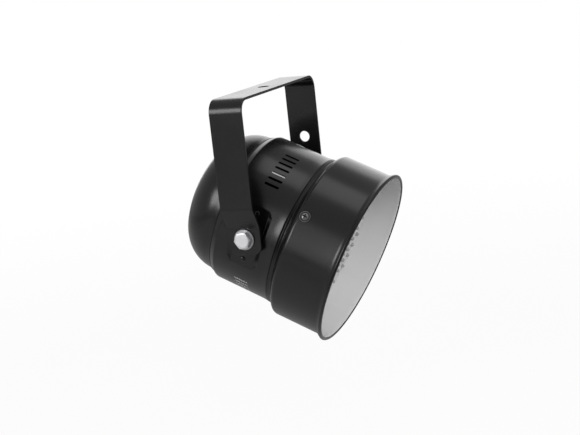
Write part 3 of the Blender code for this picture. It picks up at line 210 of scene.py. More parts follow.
class Graph:
    """The nodes of one material, or of the world."""

    def __init__(self, name: str, world: bool = False) -> None:
        """Adds the material or the world that the nodes belong to."""
        self.owner = (bpy.data.worlds if world else bpy.data.materials).new(name)
        self.owner.use_nodes = True
        self.tree = self.owner.node_tree
        self.shader = self.tree.nodes.get("Principled BSDF")
        self.output = next(n for n in self.tree.nodes if n.bl_idname.startswith("ShaderNodeOutput"))

    def feed(self, socket: bpy.types.NodeSocket, value: Any) -> None:
        """Links a wire to a socket, or sets the socket to a plain value."""
        if isinstance(value, Wire):
            self.tree.links.new(value.socket, socket)
        elif socket.type == "RGBA":
            socket.default_value = (*value, 1.0)
        else:
            socket.default_value = value

    def node(self, kind: str, settings: Mapping[str, Any] | None = None,
             sockets: Mapping[Any, Any] | None = None, output: Any = 0) -> Wire:
        """Adds a node and returns one of its outputs.

        Args:
            kind: The node's type.
            settings: Its settings, set first. A ramp's stops are given as "stops".
            sockets: Values or wires for its inputs, by name or number.
            output: The output that is wanted, by name or number.

        Returns:
            The output, as a wire.
        """
        made = self.tree.nodes.new(kind)
        for key, value in (settings or {}).items():
            if key == "stops":
                ramp = made.color_ramp.elements
                while len(ramp) < len(value):
                    ramp.new(0.5)
                for stop, (place, shade) in zip(ramp, value):
                    stop.position = place
                    stop.color = (shade, shade, shade, 1.0)
            else:
                setattr(made, key, value)
        for key, value in (sockets or {}).items():
            self.feed(made.inputs[key], value)
        return Wire(self, made.outputs[output])

    def mix(self, factor: Any, first: Any, second: Any) -> Wire:
        """Mixes two colours."""
        return self.node("ShaderNodeMix", {"data_type": "RGBA"},
                         {0: factor, 6: first, 7: second}, 2)

    def place(self, matrix: Matrix | None = None) -> Wire:
        """Returns the place on the piece, in a given frame when one is named.

        Args:
            matrix: The frame, when it isn't the object's own.

        Returns:
            The place, as a wire.
        """
        here = self.node("ShaderNodeTexCoord", output="Object")
        if matrix is None:
            return here
        back = matrix.inverted()
        return self.node("ShaderNodeMapping", {"vector_type": "POINT"},
                         {"Vector": here, "Location": back.to_translation(),
                          "Rotation": back.to_euler()})

    def noise(self, vector: Wire, scale: float, detail: float = 2.0, rough: float = 0.5) -> Wire:
        """Returns a soft noise between 0 and 1."""
        return self.node("ShaderNodeTexNoise", {},
                         {"Vector": vector, "Scale": scale, "Detail": detail, "Roughness": rough})

    def ramp(self, value: Wire, *stops: tuple[float, float]) -> Wire:
        """Returns a value put through a ramp of (place, shade) stops."""
        return self.node("ShaderNodeValToRGB", {"stops": stops}, {"Fac": value})

    def stretched(self, vector: Wire, scale: Sequence[float]) -> Wire:
        """Returns a place with its axes scaled, for streaks."""
        return self.node("ShaderNodeMapping", {"vector_type": "POINT"},
                         {"Vector": vector, "Scale": scale})

    def bump(self, height: Wire, depth: float, strength: float) -> None:
        """Lets a height raise the surface, by a depth in metres."""
        normal = self.node("ShaderNodeBump", {},
                           {"Height": height, "Distance": depth, "Strength": strength})
        self.feed(self.shader.inputs["Normal"], normal)

    def end(self, shader: Wire) -> None:
        """Makes a shader the one that is rendered."""
        self.feed(self.output.inputs["Surface"], shader)

    def surface(self, **values: Any) -> None:
        """Feeds the Principled shader's sockets, named with underscores for spaces."""
        for key, value in values.items():
            self.feed(self.shader.inputs[key.replace("_", " ").title()], value)


@dataclass(frozen=True)
class SatinPaint:
    """Black satin powder paint, with a fine orange peel and a trace of dust; a pale copy of it is a
    painted highlight line in a recess fold.
    """

    name: str = "satin_black_paint"
    colour: Colour = (0.0018, 0.0018, 0.0019)
    dust_and_highlight_tone: Colour = (0.0055, 0.0055, 0.0058)
    gloss: float = 0.24
    peel_scale: float = 650.0
    patch_scale: float = 22.0
    speck_scale: float = 1500.0
    peel_depth: float = 0.00006

    def material(self) -> bpy.types.Material:
        """Builds the paint.

        Returns:
            The material.
        """
        graph = Graph(self.name)
        here = graph.place()
        peel = graph.noise(here, self.peel_scale, 1.0)
        patches = graph.noise(here, self.patch_scale, 3.0)
        dots = graph.noise(here, self.speck_scale, 1.0)
        specks = graph.ramp(dots, (0.66, 0.0), (0.74, 1.0))
        graph.surface(base_color=graph.mix(patches * 0.5 + specks * 0.4, self.colour, self.dust_and_highlight_tone),
                      roughness=self.gloss + (patches - 0.5) * 0.10 + specks * 0.05)
        graph.bump(peel, self.peel_depth, 0.5)
        return graph.owner


@dataclass(frozen=True)
class PaleLining:
    """The light grey inside of the collar, a thin matt paint with faint runs."""

    name: str = "pale_lining"
    colour: Colour = (0.60, 0.60, 0.60)
    shade: Colour = (0.55, 0.55, 0.55)
    run_scale: Sequence[float] = (40.0, 40.0, 4.0)
    grain_scale: float = 900.0
    grain_depth: float = 0.00005
    roughness: float = 0.52

    def material(self) -> bpy.types.Material:
        """Builds the lining.

        Returns:
            The material.
        """
        graph = Graph(self.name)
        here = graph.place(CAN)
        runs = graph.noise(graph.stretched(here, self.run_scale), 1.0, 3.0)
        grain = graph.noise(here, self.grain_scale, 1.0)
        graph.surface(base_color=graph.mix(runs, self.shade, self.colour),
                      roughness=self.roughness + (grain - 0.5) * 0.12)
        graph.bump(grain, self.grain_depth, 0.4)
        return graph.owner


@dataclass(frozen=True)
class SolderMask:
    """White solder mask over copper, with the tracks just raised under it."""

    name: str = "white_mask"
    colour: Colour = (0.60, 0.60, 0.60)
    tracks: Colour = (0.54, 0.55, 0.545)
    pitch: float = LAMP_PITCH
    turn: float = LAMP_TURN
    cloud_scale: float = 60.0
    track_height: float = 0.00004
    roughness: float = 0.38

    def material(self) -> bpy.types.Material:
        """Builds the mask.

        Returns:
            The material.
        """
        graph = Graph(self.name)
        here = graph.place(CAN @ Matrix.Rotation(self.turn, 4, "Z"))
        rows = graph.node("ShaderNodeSeparateXYZ", {}, {0: here}, "Y") / (self.pitch * ROW_SHARE)
        across = graph.node("ShaderNodeMath", {"operation": "PINGPONG"}, {0: rows, 1: 0.5})
        track = graph.ramp(across, (0.05, 1.0), (0.075, 0.0))
        cloud = graph.noise(here, self.cloud_scale, 2.0)
        shown = track * 0.8
        mask = graph.mix(cloud * 0.3, self.colour, self.tracks)
        graph.surface(base_color=graph.mix(shown, mask, self.tracks),
                      roughness=self.roughness + cloud * 0.12)
        graph.bump(track, self.track_height, 1.0)
        return graph.owner


@dataclass(frozen=True)
class Metal:
    """A bare or plated metal: clouded plating and fine streaks."""

    name: str
    colour: Colour
    shade: Colour
    roughness: float = 0.3
    metallic: float = 1.0
    streak: Sequence[float] = (700.0, 90.0, 700.0)
    cloud_scale: float = 240.0
    depth: float = 0.00003

    def material(self) -> bpy.types.Material:
        """Builds the metal.

        Returns:
            The material.
        """
        graph = Graph(self.name)
        here = graph.place()
        cloud = graph.noise(here, self.cloud_scale, 3.0)
        streaks = graph.noise(graph.stretched(here, self.streak), 1.0, 2.0)
        graph.surface(base_color=graph.mix(cloud, self.shade, self.colour),
                      roughness=self.roughness + (streaks - 0.5) * 0.16 + (cloud - 0.5) * 0.1,
                      metallic=self.metallic)
        graph.bump(streaks, self.depth, 0.5)
        return graph.owner


@dataclass(frozen=True)
class Moulding:
    """A moulded plastic or rubber with a fine spark-eroded grain."""

    name: str
    colour: Colour
    shade: Colour
    roughness: float = 0.45
    grain_scale: float = 1400.0
    cloud_scale: float = 80.0
    depth: float = 0.00004

    def material(self) -> bpy.types.Material:
        """Builds the moulding.

        Returns:
            The material.
        """
        graph = Graph(self.name)
        here = graph.place()
        grain = graph.noise(here, self.grain_scale, 2.0)
        cloud = graph.noise(here, self.cloud_scale, 2.0)
        graph.surface(base_color=graph.mix(cloud, self.shade, self.colour),
                      roughness=self.roughness + (grain - 0.5) * 0.18)
        graph.bump(grain, self.depth, 0.6)
        return graph.owner


@dataclass(frozen=True)
class ClearLamp:
    """Smoke clear epoxy over a small reflector cup, read as a dark bead from the side."""

    name: str = "lamp_epoxy"
    colour: Colour = (0.15, 0.15, 0.15)
    rim: Colour = (0.40, 0.40, 0.40)
    cloud_scale: float = 900.0

    def material(self) -> bpy.types.Material:
        """Builds the lamp's epoxy.

        Returns:
            The material.
        """
        graph = Graph(self.name)
        here = graph.place(CAN)
        cloud = graph.noise(here, self.cloud_scale, 2.0)
        graph.surface(base_color=graph.mix(cloud, self.colour, self.rim),
                      roughness=0.10 + cloud * 0.06, coat_weight=0.5 + cloud * 0.2)
        return graph.owner


@dataclass
class Finishes:
    """Every finish of the object, each made once and kept under the record's slot name."""

    made: dict[str, bpy.types.Material] = field(default_factory=dict)

    def mix(self) -> None:
        """Builds every finish."""
        metals = {
            "washer_steel": ("washer_plate", (0.52, 0.52, 0.53), (0.40, 0.40, 0.41), 0.42),
            "bolt_steel": ("bolt_plate", (0.94, 0.94, 0.95), (0.84, 0.84, 0.86), 0.48),
            "zinc_steel": ("zinc_plate", (0.86, 0.86, 0.87), (0.72, 0.72, 0.74), 0.30),
            "galvanised_sheet": ("galvanised_sheet", (0.55, 0.56, 0.57), (0.40, 0.41, 0.42), 0.45),
            "black_screw_steel": ("blacked_steel", (0.32,) * 3, (0.22,) * 3, 0.34, 0.9),
            "core_steel": ("core_steel", (0.34, 0.34, 0.35), (0.24, 0.24, 0.25), 0.45),
            "aluminium": ("aluminium", (0.76, 0.77, 0.78), (0.62, 0.63, 0.64), 0.34),
            "nickel": ("nickel_plate", (0.70, 0.69, 0.66), (0.58, 0.57, 0.55), 0.28),
        }
        mouldings = {
            "black_nylon": ((0.020,) * 3, (0.012,) * 3, 0.48),
            "black_rubber": ((0.016,) * 3, (0.010,) * 3, 0.75),
            "circuit_board": ((0.02, 0.14, 0.05), (0.015, 0.10, 0.04), 0.42),
            "red_plastic": ((0.52, 0.035, 0.03), (0.42, 0.025, 0.02), 0.40),
            "white_plastic": ((0.82, 0.82, 0.80), (0.72, 0.72, 0.70), 0.38),
        }
        choices = {
            "black_paint": SatinPaint(),
            # A pale satin paint, used as a painted highlight line along the near recess's front
            # fold.
            "fold_highlight_paint": SatinPaint("fold_highlight_paint", (0.16,) * 3, (0.26,) * 3, 0.6),
            "pale_lining": PaleLining(),
            "white_solder_mask": SolderMask(),
            "lamp_epoxy": ClearLamp(),
            **{slot: Metal(*values) for slot, values in metals.items()},
            **{slot: Moulding(slot, *values) for slot, values in mouldings.items()},
        }
        self.made = {slot: finish.material() for slot, finish in choices.items()}

    def __getitem__(self, slot: str) -> bpy.types.Material:
        """The finish kept under a name."""
        return self.made[slot]


FINISHES = Finishes()


class Piece:
    """One workpiece, shaped by the operations of edit mode and by applied modifiers."""

    def __init__(self, name: str) -> None:
        """Takes hold of the object that was just made, and names it."""
        self.obj = bpy.context.object
        self.obj.name = name
        self.obj.data.name = name

    @staticmethod
    def hands_off() -> None:
        """Deselects every object, so that an operator acts on the workpiece alone."""
        bpy.ops.object.select_all(action="DESELECT")

    @classmethod
    def primitive(cls, name: str, adder: Callable[..., Any], **settings: Any) -> Piece:
        """Adds a primitive with nothing else selected, and applies its place to its mesh.

        Args:
            name: The new object's name.
            adder: The operator that adds it.
            settings: The operator's settings.

        Returns:
            The new piece.
        """
        cls.hands_off()
        adder(**settings)
        bpy.ops.object.transform_apply(location=True, rotation=True, scale=True)
        return cls(name)

    @classmethod
    def cylinder(cls, name: str, radius: float, low: float, high: float, sides: int) -> Piece:
        """Adds a cylinder about Z between two heights."""
        return cls.primitive(name, bpy.ops.mesh.primitive_cylinder_add, vertices=sides,
                             radius=radius, depth=high - low, location=(0.0, 0.0, (low + high) / 2))

    @classmethod
    def block(cls, name: str, size: Sequence[float], centre: Sequence[float]) -> Piece:
        """Adds a block, as the start of a cutter."""
        return cls.primitive(name, bpy.ops.mesh.primitive_cube_add, size=1.0, location=centre,
                             scale=size)

    @classmethod
    def line(cls, name: str, points: Sequence[Sequence[float]]) -> Piece:
        """Draws a line in the XZ plane by extruding one vertex from point to point.

        Args:
            name: The new object's name.
            points: Its (X, Z) points.

        Returns:
            The piece.
        """
        piece = cls.primitive(name, bpy.ops.mesh.primitive_plane_add, size=0.01)
        with piece.editing():
            bpy.ops.mesh.select_all(action="SELECT")
            bpy.ops.mesh.merge(type="CENTER")
            bpy.ops.transform.translate(value=(points[0][0], 0.0, points[0][1]))
            for here, there in zip(points, points[1:]):
                step = (there[0] - here[0], 0.0, there[1] - here[1])
                bpy.ops.mesh.extrude_vertices_move(TRANSFORM_OT_translate={"value": step})
        return piece

    @classmethod
    def turned(cls, name: str, outline: Sequence[Point], steps: int = 144) -> Piece:
        """Spins an outline of (radius, height) points about Z.

        Args:
            name: The new object's name.
            outline: The outline's (radius, height) points.
            steps: How many steps the spin has.

        Returns:
            The piece.
        """
        piece = cls.line(name, outline)
        with piece.editing():
            bpy.ops.mesh.select_all(action="SELECT")
            bpy.ops.mesh.spin(steps=steps, angle=math.tau, center=(0.0, 0.0, 0.0),
                              axis=(0.0, 0.0, 1.0))
            piece.seam()
        return piece

    @contextmanager
    def editing(self) -> Iterator[None]:
        """Opens the piece in edit mode."""
        self.hold()
        bpy.ops.object.mode_set(mode="EDIT")
        bpy.ops.mesh.select_mode(type="VERT")
        yield
        bpy.ops.object.mode_set(mode="OBJECT")

    def hold(self) -> None:
        """Makes the piece the only selected object, and the active one."""
        self.hands_off()
        self.obj.select_set(True)
        bpy.context.view_layer.objects.active = self.obj

    def seam(self) -> None:
        """Merges doubles and turns the faces outwards, in edit mode."""
        bpy.ops.mesh.select_all(action="SELECT")
        bpy.ops.mesh.remove_doubles(threshold=MERGE)
        bpy.ops.mesh.normals_make_consistent(inside=False)

    def pick(self, kind: Pick, test: Callable[[Any], bool]) -> None:
        """Selects the vertices, edges or faces that pass a test, in edit mode.

        Args:
            kind: What is picked.
            test: Tells whether one is picked.
        """
        bpy.ops.mesh.select_mode(type=kind.value)
        bpy.ops.mesh.select_all(action="DESELECT")
        bm = bmesh.from_edit_mesh(self.obj.data)
        items = {Pick.VERT: bm.verts, Pick.EDGE: bm.edges, Pick.FACE: bm.faces}[kind]
        for item in items:
            if test(item):
                item.select_set(True)
        bmesh.update_edit_mesh(self.obj.data)

    def modify(self, kind: str, **settings: Any) -> Piece:
        """Adds a modifier and applies it.

        Args:
            kind: The modifier's type.
            settings: Its settings.

        Returns:
            The piece.
        """
        self.hold()
        modifier = self.obj.modifiers.new("step", kind)
        for key, value in settings.items():
            setattr(modifier, key, value)
        bpy.ops.object.modifier_apply(modifier=modifier.name)
        return self

    def wall(self, thickness: float) -> Piece:
        """Gives a surface its sheet thickness, inwards."""
        return self.modify("SOLIDIFY", thickness=thickness, offset=-1.0, use_even_offset=True)

    def meet(self, tool: Piece, operation: str) -> Piece:
        """Applies a Boolean with another piece, which is used up.

        Args:
            tool: The piece that is used up.
            operation: The Boolean's operation.

        Returns:
            The piece.
        """
        self.modify("BOOLEAN", operation=operation, solver="EXACT", object=tool.obj)
        bpy.data.objects.remove(tool.obj)
        return self

    def cut(self, *tools: Piece) -> Piece:
        """Cuts other pieces out of this one."""
        for tool in tools:
            self.meet(tool, "DIFFERENCE")
        return self

    def join(self, *others: Piece) -> Piece:
        """Gathers other pieces into this one's mesh, without a Boolean.

        Args:
            others: The pieces that join.

        Returns:
            The piece.
        """
        self.hold()
        for other in others:
            other.obj.select_set(True)
        bpy.ops.object.join()
        return self

    def copy(self, name: str, matrix: Matrix) -> Piece:
        """Copies the piece with its own mesh, and puts the copy in place.

        Args:
            name: The new object's name.
            matrix: Where it goes.

        Returns:
            The piece.
        """
        self.hold()
        bpy.ops.object.duplicate(linked=False)
        return Piece(name).place(matrix)

    def pattern(self, name: str, places: Iterable[Matrix]) -> Piece:
        """Sets one copy at each place, joins the copies and drops the piece itself.

        Args:
            name: The name of the copies.
            places: Where each goes.

        Returns:
            The joined copies.
        """
        copies = [self.copy(name, matrix) for matrix in places]
        bpy.data.objects.remove(self.obj)
        return copies[0].join(*copies[1:])

    def drill(self, radius: float, low: float, high: float, at: Matrix, sides: int = 48) -> Piece:
        """Drills a round hole about a placed Z axis, between two heights on it."""
        return self.cut(Piece.cylinder("drill", radius, low, high, sides).place(at))

    def bevel_folds(self, fold: Callable[[Any], bool], cap: Callable[[Any], bool], width: float,
                    segments: int) -> Piece:
        """Rounds a blank's pressed folds and opens its caps.

        Args:
            fold: Tells whether an edge is such a fold.
            cap: Tells whether a face only closes the blank.
            width: The rounding's width.
            segments: How many parts it has.

        Returns:
            The opened piece.
        """
        with self.editing():
            self.seam()
            self.pick(Pick.EDGE, fold)
            bpy.ops.mesh.bevel(offset=width, segments=segments, affect="EDGES", clamp_overlap=True)
            self.pick(Pick.FACE, cap)
            bpy.ops.mesh.delete(type="FACE")
        return self

    def shift(self, rule: Callable[[Vector], float]) -> Piece:
        """Slides vertices along X in edit mode, each to where a rule puts it.

        Args:
            rule: Gives the new X for a vertex's place.

        Returns:
            The piece.
        """
        spots = [vert.co.copy() for vert in self.obj.data.vertices]
        with self.editing():
            for index, spot in enumerate(spots):
                step = rule(spot) - spot.x
                if step:
                    self.pick(Pick.VERT, lambda v: v.index == index)
                    bpy.ops.transform.translate(value=(step, 0.0, 0.0))
        return self

    def place(self, matrix: Matrix) -> Piece:
        """Moves the mesh by a matrix, so that the object stays at the origin.

        Args:
            matrix: Where it goes.

        Returns:
            The piece.
        """
        self.hold()
        self.obj.matrix_world = matrix
        bpy.ops.object.transform_apply(location=True, rotation=True, scale=True)
        return self

    def soften(self, width: float, segments: int = 2, angle: float = 35.0) -> Piece:
        """Rounds every edge sharper than an angle in degrees."""
        return self.modify("BEVEL", width=width, segments=segments, limit_method="ANGLE",
                           angle_limit=math.radians(angle), use_clamp_overlap=True,
                           miter_outer="MITER_ARC")

    def paint(self, main: str, others: Mapping[str, Callable[[Any], bool]]) -> Piece:
        """Paints the piece with one finish, and the faces that a test picks with others.

        Args:
            main: The piece's main finish.
            others: Other finishes, each with the test that picks its faces.

        Returns:
            The piece.
        """
        materials = self.obj.data.materials
        materials.clear()
        for name in (main, *others):
            materials.append(FINISHES[name])
        with self.editing():
            for index, test in enumerate(others.values(), 1):
                self.pick(Pick.FACE, test)
                self.obj.active_material_index = index
                bpy.ops.object.material_slot_assign()
        return self

    def finish(self, body: str, slot: str, *nodes: str, angle: float = 40.0,
               finish: str | None = None, weighted: bool = True) -> bpy.types.Object:
        """Shades and paints the piece, and lets it stand for CAD nodes.

        Args:
            body: The body that it rides on.
            slot: The record's material slot.
            nodes: The CAD nodes that it stands for.
            angle: Edges sharper than this, in degrees, stay sharp.
            finish: The finish when it isn't the slot's own.
            weighted: Whether large faces keep their own normals.

        Returns:
            The finished object.
        """
        self.hold()
        bpy.ops.object.shade_smooth_by_angle(angle=math.radians(angle))
        if weighted:
            self.modify("WEIGHTED_NORMAL", mode="FACE_AREA", weight=50, keep_sharp=True)
        if not self.obj.data.materials:
            self.obj.data.materials.append(FINISHES[finish or slot])
        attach(self.obj, body)
        if nodes:
            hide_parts(*nodes)
        LOG.info("%s: %d faces on %s", self.obj.name, len(self.obj.data.polygons), body)
        return self.obj


def is_folded(edge: bmesh.types.BMEdge, degrees: float) -> bool:
    """Tells whether two faces meet in an edge at more than an angle."""
    return len(edge.link_faces) == 2 and edge.calc_face_angle() > math.radians(degrees)


def facing(side: Side) -> Matrix:
    """Returns the turn that points Z outwards along the pivot axis on one side of the can."""
    return CAN @ Matrix.Rotation(side.value * QUARTER, 4, "Y")


def outwards(angle: float, position: float) -> Matrix:
    """Returns the placing that points Z out of the can, at an angle round it and a place along."""
    return (CAN @ Matrix.Rotation(angle, 4, "Z") @ Matrix.Translation((0.0, 0.0, position))
            @ Matrix.Rotation(-QUARTER, 4, "X"))


@dataclass
class Yoke:
    """The bent strip that hangs the can."""

    width: float = 0.2167
    strip: float = 0.038
    thickness: float = 0.003
    bend: float = 0.0125
    tail: float = 0.017
    corner: float = 0.009
    joggle: float = 0.01265
    joggle_low: float = 0.0124
    joggle_high: float = 0.0352
    joggle_radius: float = 0.007
    hole: float = 0.0065
    bolt_hole: float = 0.0054
    safety_height: float = 0.0796
    edge: float = 0.00045

    def line(self) -> list[Point]:
        """Returns the strip's outer line, from one foot over the bar to the other.

        Returns:
            The line's points.
        """
        arm = self.width / 2
        pad = arm - self.joggle
        drop = PIVOT.z
        half = [(-pad, drop - self.tail), (-pad, drop + self.joggle_low),
                (-arm, drop + self.joggle_high), (-arm, 0.0)]
        corners = half + [(-x, z) for x, z in reversed(half)]
        outer = self.bend + self.thickness
        inner = self.joggle_radius + self.thickness
        radii = (self.joggle_radius, inner, outer, outer, inner, self.joggle_radius)
        return rounded(corners, radii, 8)

    def build(self) -> None:
        """Bends the strip, rounds its feet and drills it."""
        piece = Piece.line("yoke", self.line())
        with piece.editing():
            bpy.ops.mesh.select_all(action="SELECT")
            bpy.ops.transform.translate(value=(0.0, -self.strip / 2, 0.0))
            bpy.ops.mesh.extrude_region_move(
                TRANSFORM_OT_translate={"value": (0.0, self.strip, 0.0)})
            piece.seam()
            foot = PIVOT.z - self.tail
            piece.pick(Pick.VERT, lambda v: abs(v.co.z - foot) < 1e-5)
            bpy.ops.mesh.bevel(offset=self.corner, segments=10, affect="VERTICES")
        piece.modify("SOLIDIFY", thickness=self.thickness, offset=self.inwards(piece),
                     use_even_offset=True)
        along = Matrix.Rotation(QUARTER, 4, "Y")
        arm = self.width / 2
        safety = PIVOT.z + self.safety_height
        for radius, x, z, sides in ((self.bolt_hole, -arm, PIVOT.z, 48),
                                    (self.bolt_hole, arm, PIVOT.z, 48),
                                    (self.hole, arm, safety, 64)):
            piece.drill(radius, -REACH, REACH, Matrix.Translation((x, 0.0, z)) @ along, sides)
        piece.drill(self.hole, -REACH, REACH, Matrix(), 64)
        piece.soften(self.edge, 3)
        piece.finish("yoke", "black_paint", "yoke_bracket")

    @staticmethod
    def inwards(piece: Piece) -> float:
        """Returns the Solidify offset that grows the strip towards its inside."""
        bar = max(piece.obj.data.polygons, key=lambda f: f.center.z)
        return -1.0 if bar.normal.z > 0 else 1.0


@dataclass
class Body:
    """The spun body: its flange, two pressed recesses, and four groups of slots."""

    radius: float = 0.0885
    sheet: float = 0.0012
    flange: float = 0.0967
    flange_rear: float = 0.0460
    shoulder: float = -0.0348
    rear: float = -0.0410
    shoulder_angle: float = math.radians(31.0)
    floor: float = 0.0810
    half_length: float = 0.0136
    wall_run: float = 0.0056
    wall_end: float = 0.0290
    floor_radius: float = 0.0375
    slots: int = 7
    slot_pitch: float = math.radians(5.15)
    slot_group: float = math.radians(32.8)
    slot_length: float = 0.0175
    slot_width: float = 0.0030
    slot_centre: float = 0.0005
    slot_tool_reach: float = 0.006
    groove: Point = (0.0877, 0.0350)
    swell: Point = (0.08965, 0.0342)
    swell_start: float = 0.0276
    crest: float = 0.0018
    swell_radius: float = 0.052
    blank_overrun: float = 0.004
    punch_rise: float = 0.012
    fold_width: float = 0.0016
    fold_angle: float = 27.0
    edge: float = 0.0005

    def outline(self) -> list[Point]:
        """Returns the outside of the closed blank that the body is pressed from.

        Returns:
            The outline's points.
        """
        mouth = self.radius - (self.shoulder - self.rear) * math.tan(self.shoulder_angle)
        over = self.blank_overrun
        corners = [(self.flange, self.flange_rear), (self.groove[0], self.flange_rear), self.groove,
                   self.swell, (self.radius, self.swell_start), (self.radius, self.shoulder),
                   (mouth, self.rear)]
        bend = rounded(corners, (0.0015, 0.0003, self.crest, self.swell_radius, 0.004), 6)
        return ([(0.0, self.flange_rear + over), (self.flange, self.flange_rear + over)] + bend
                + [(mouth, self.rear - over), (0.0, self.rear - over)])

    def recess(self) -> Piece:
        """Shapes the punch of one recess: a disc clipped by two walls of even run, facing +Z.

        Returns:
            The piece.
        """
        top = self.floor + self.punch_rise
        punch = Piece.cylinder("recess", self.floor_radius, self.floor, top, 120)
        return punch.shift(self.wall_place)

    def wall_place(self, spot: Vector) -> float:
        """Clips the punch's length: past the walls, a point slides in along X onto the wall.

        Args:
            spot: The point's place.

        Returns:
            The new X.
        """
        if abs(spot.x) <= self.half_length - 1e-5:
            return spot.x
        across = min(abs(spot.y), self.wall_end)
        depth = math.sqrt(self.radius ** 2 - across ** 2) - self.floor
        lift = (spot.z - self.floor) / depth
        return math.copysign(self.half_length + self.wall_run * lift, spot.x)

    def is_highlit_fold(self, face: bmesh.types.BMFace) -> bool:
        """Tells whether a face is in the front fold of the near recess, which takes a pale paint as
        a painted highlight line.
        """
        middle = face.calc_center_median()
        near_fold = abs(middle.z - self.half_length) < 0.0007
        return near_fold and abs(middle.x + self.floor) < 0.0009 and 0.004 < middle.y < 0.0335

    def is_highlit_slot_sill(self, face: bmesh.types.BMFace) -> bool:
        """Tells whether a face is an upward sill of the lower slots, which takes the pale lining as
        a painted highlight.

        Args:
            face: The face to test.

        Returns:
            Whether it is one.
        """
        middle = face.calc_center_median()
        if middle.y > 0 or abs(middle.z - self.slot_centre) > self.slot_length / 2:
            return False
        radial = Vector((middle.x, middle.y, 0.0)).normalized()
        # Painted highlight: only the upward sills of the lower slots are picked, and they take the
        # pale lining.
        upward_sill = face.normal.y > 0.3 and abs(face.normal.dot(radial)) < 0.9
        return upward_sill and middle.xy.length > 0.0868

    def slot_tool(self) -> Piece:
        """Shapes the tool of one slot, pointing out along Z with its length along Y.

        Returns:
            The piece.
        """
        reach = (self.slot_length - self.slot_width) / 2
        tool = Piece.cylinder("slot", self.slot_width / 2, self.radius - self.slot_tool_reach,
                              self.radius + self.slot_tool_reach, 24)
        with tool.editing():
            for sign in (-1.0, 1.0):
                tool.pick(Pick.VERT, lambda v: v.co.y * sign > 1e-6)
                bpy.ops.transform.translate(value=(0.0, sign * reach, 0.0))
        return tool

    def slot_angles(self) -> list[float]:
        """Returns the angles of the slots round the can, in four groups.

        Returns:
            The angles.
        """
        steps = [(i - (self.slots - 1) / 2) * self.slot_pitch for i in range(self.slots)]
        middles = (self.slot_group, math.pi - self.slot_group)
        return [sign * (middle + step) for middle in middles for step in steps for sign in (1, -1)]

    def build(self) -> None:
        """Spins, presses, walls and punches the body."""
        piece = Piece.turned("can_body", self.outline(), 160)
        punch = self.recess()
        for side in Side:
            piece.cut(punch.copy("recess", Matrix.Rotation(side.value * QUARTER, 4, "Y")))
        bpy.data.objects.remove(punch.obj)
        piece.bevel_folds(self.is_press_edge, self.is_cap, self.fold_width, 4)
        piece.wall(self.sheet)
        middle = Matrix.Translation((0.0, 0.0, self.slot_centre))
        upright = middle @ Matrix.Rotation(-QUARTER, 4, "X")
        piece.cut(self.slot_tool().pattern(
            "slot", [Matrix.Rotation(angle, 4, "Z") @ upright for angle in self.slot_angles()]))
        piece.soften(self.edge, 3)
        # The near recess's front fold takes a pale paint as a painted highlight line, and the lower
        # slots' upward sills take the pale lining as painted highlights.
        piece.paint("black_paint", {"fold_highlight_paint": self.is_highlit_fold, "pale_lining": self.is_highlit_slot_sill})
        piece.place(CAN)
        piece.finish("can", "black_paint", "body_shell")

    def is_press_edge(self, edge: bmesh.types.BMEdge) -> bool:
        """Tells whether an edge is a fold of a pressed recess."""
        middle = (edge.verts[0].co + edge.verts[1].co) / 2
        return abs(middle.x) > 0.06 and abs(middle.z) < 0.028 and is_folded(edge, self.fold_angle)

    def is_cap(self, face: bmesh.types.BMFace) -> bool:
        """Tells whether a face only closes the blank."""
        middle = face.calc_center_median()
        return middle.z > self.flange_rear + 0.0005 or middle.z < self.rear - 0.00005


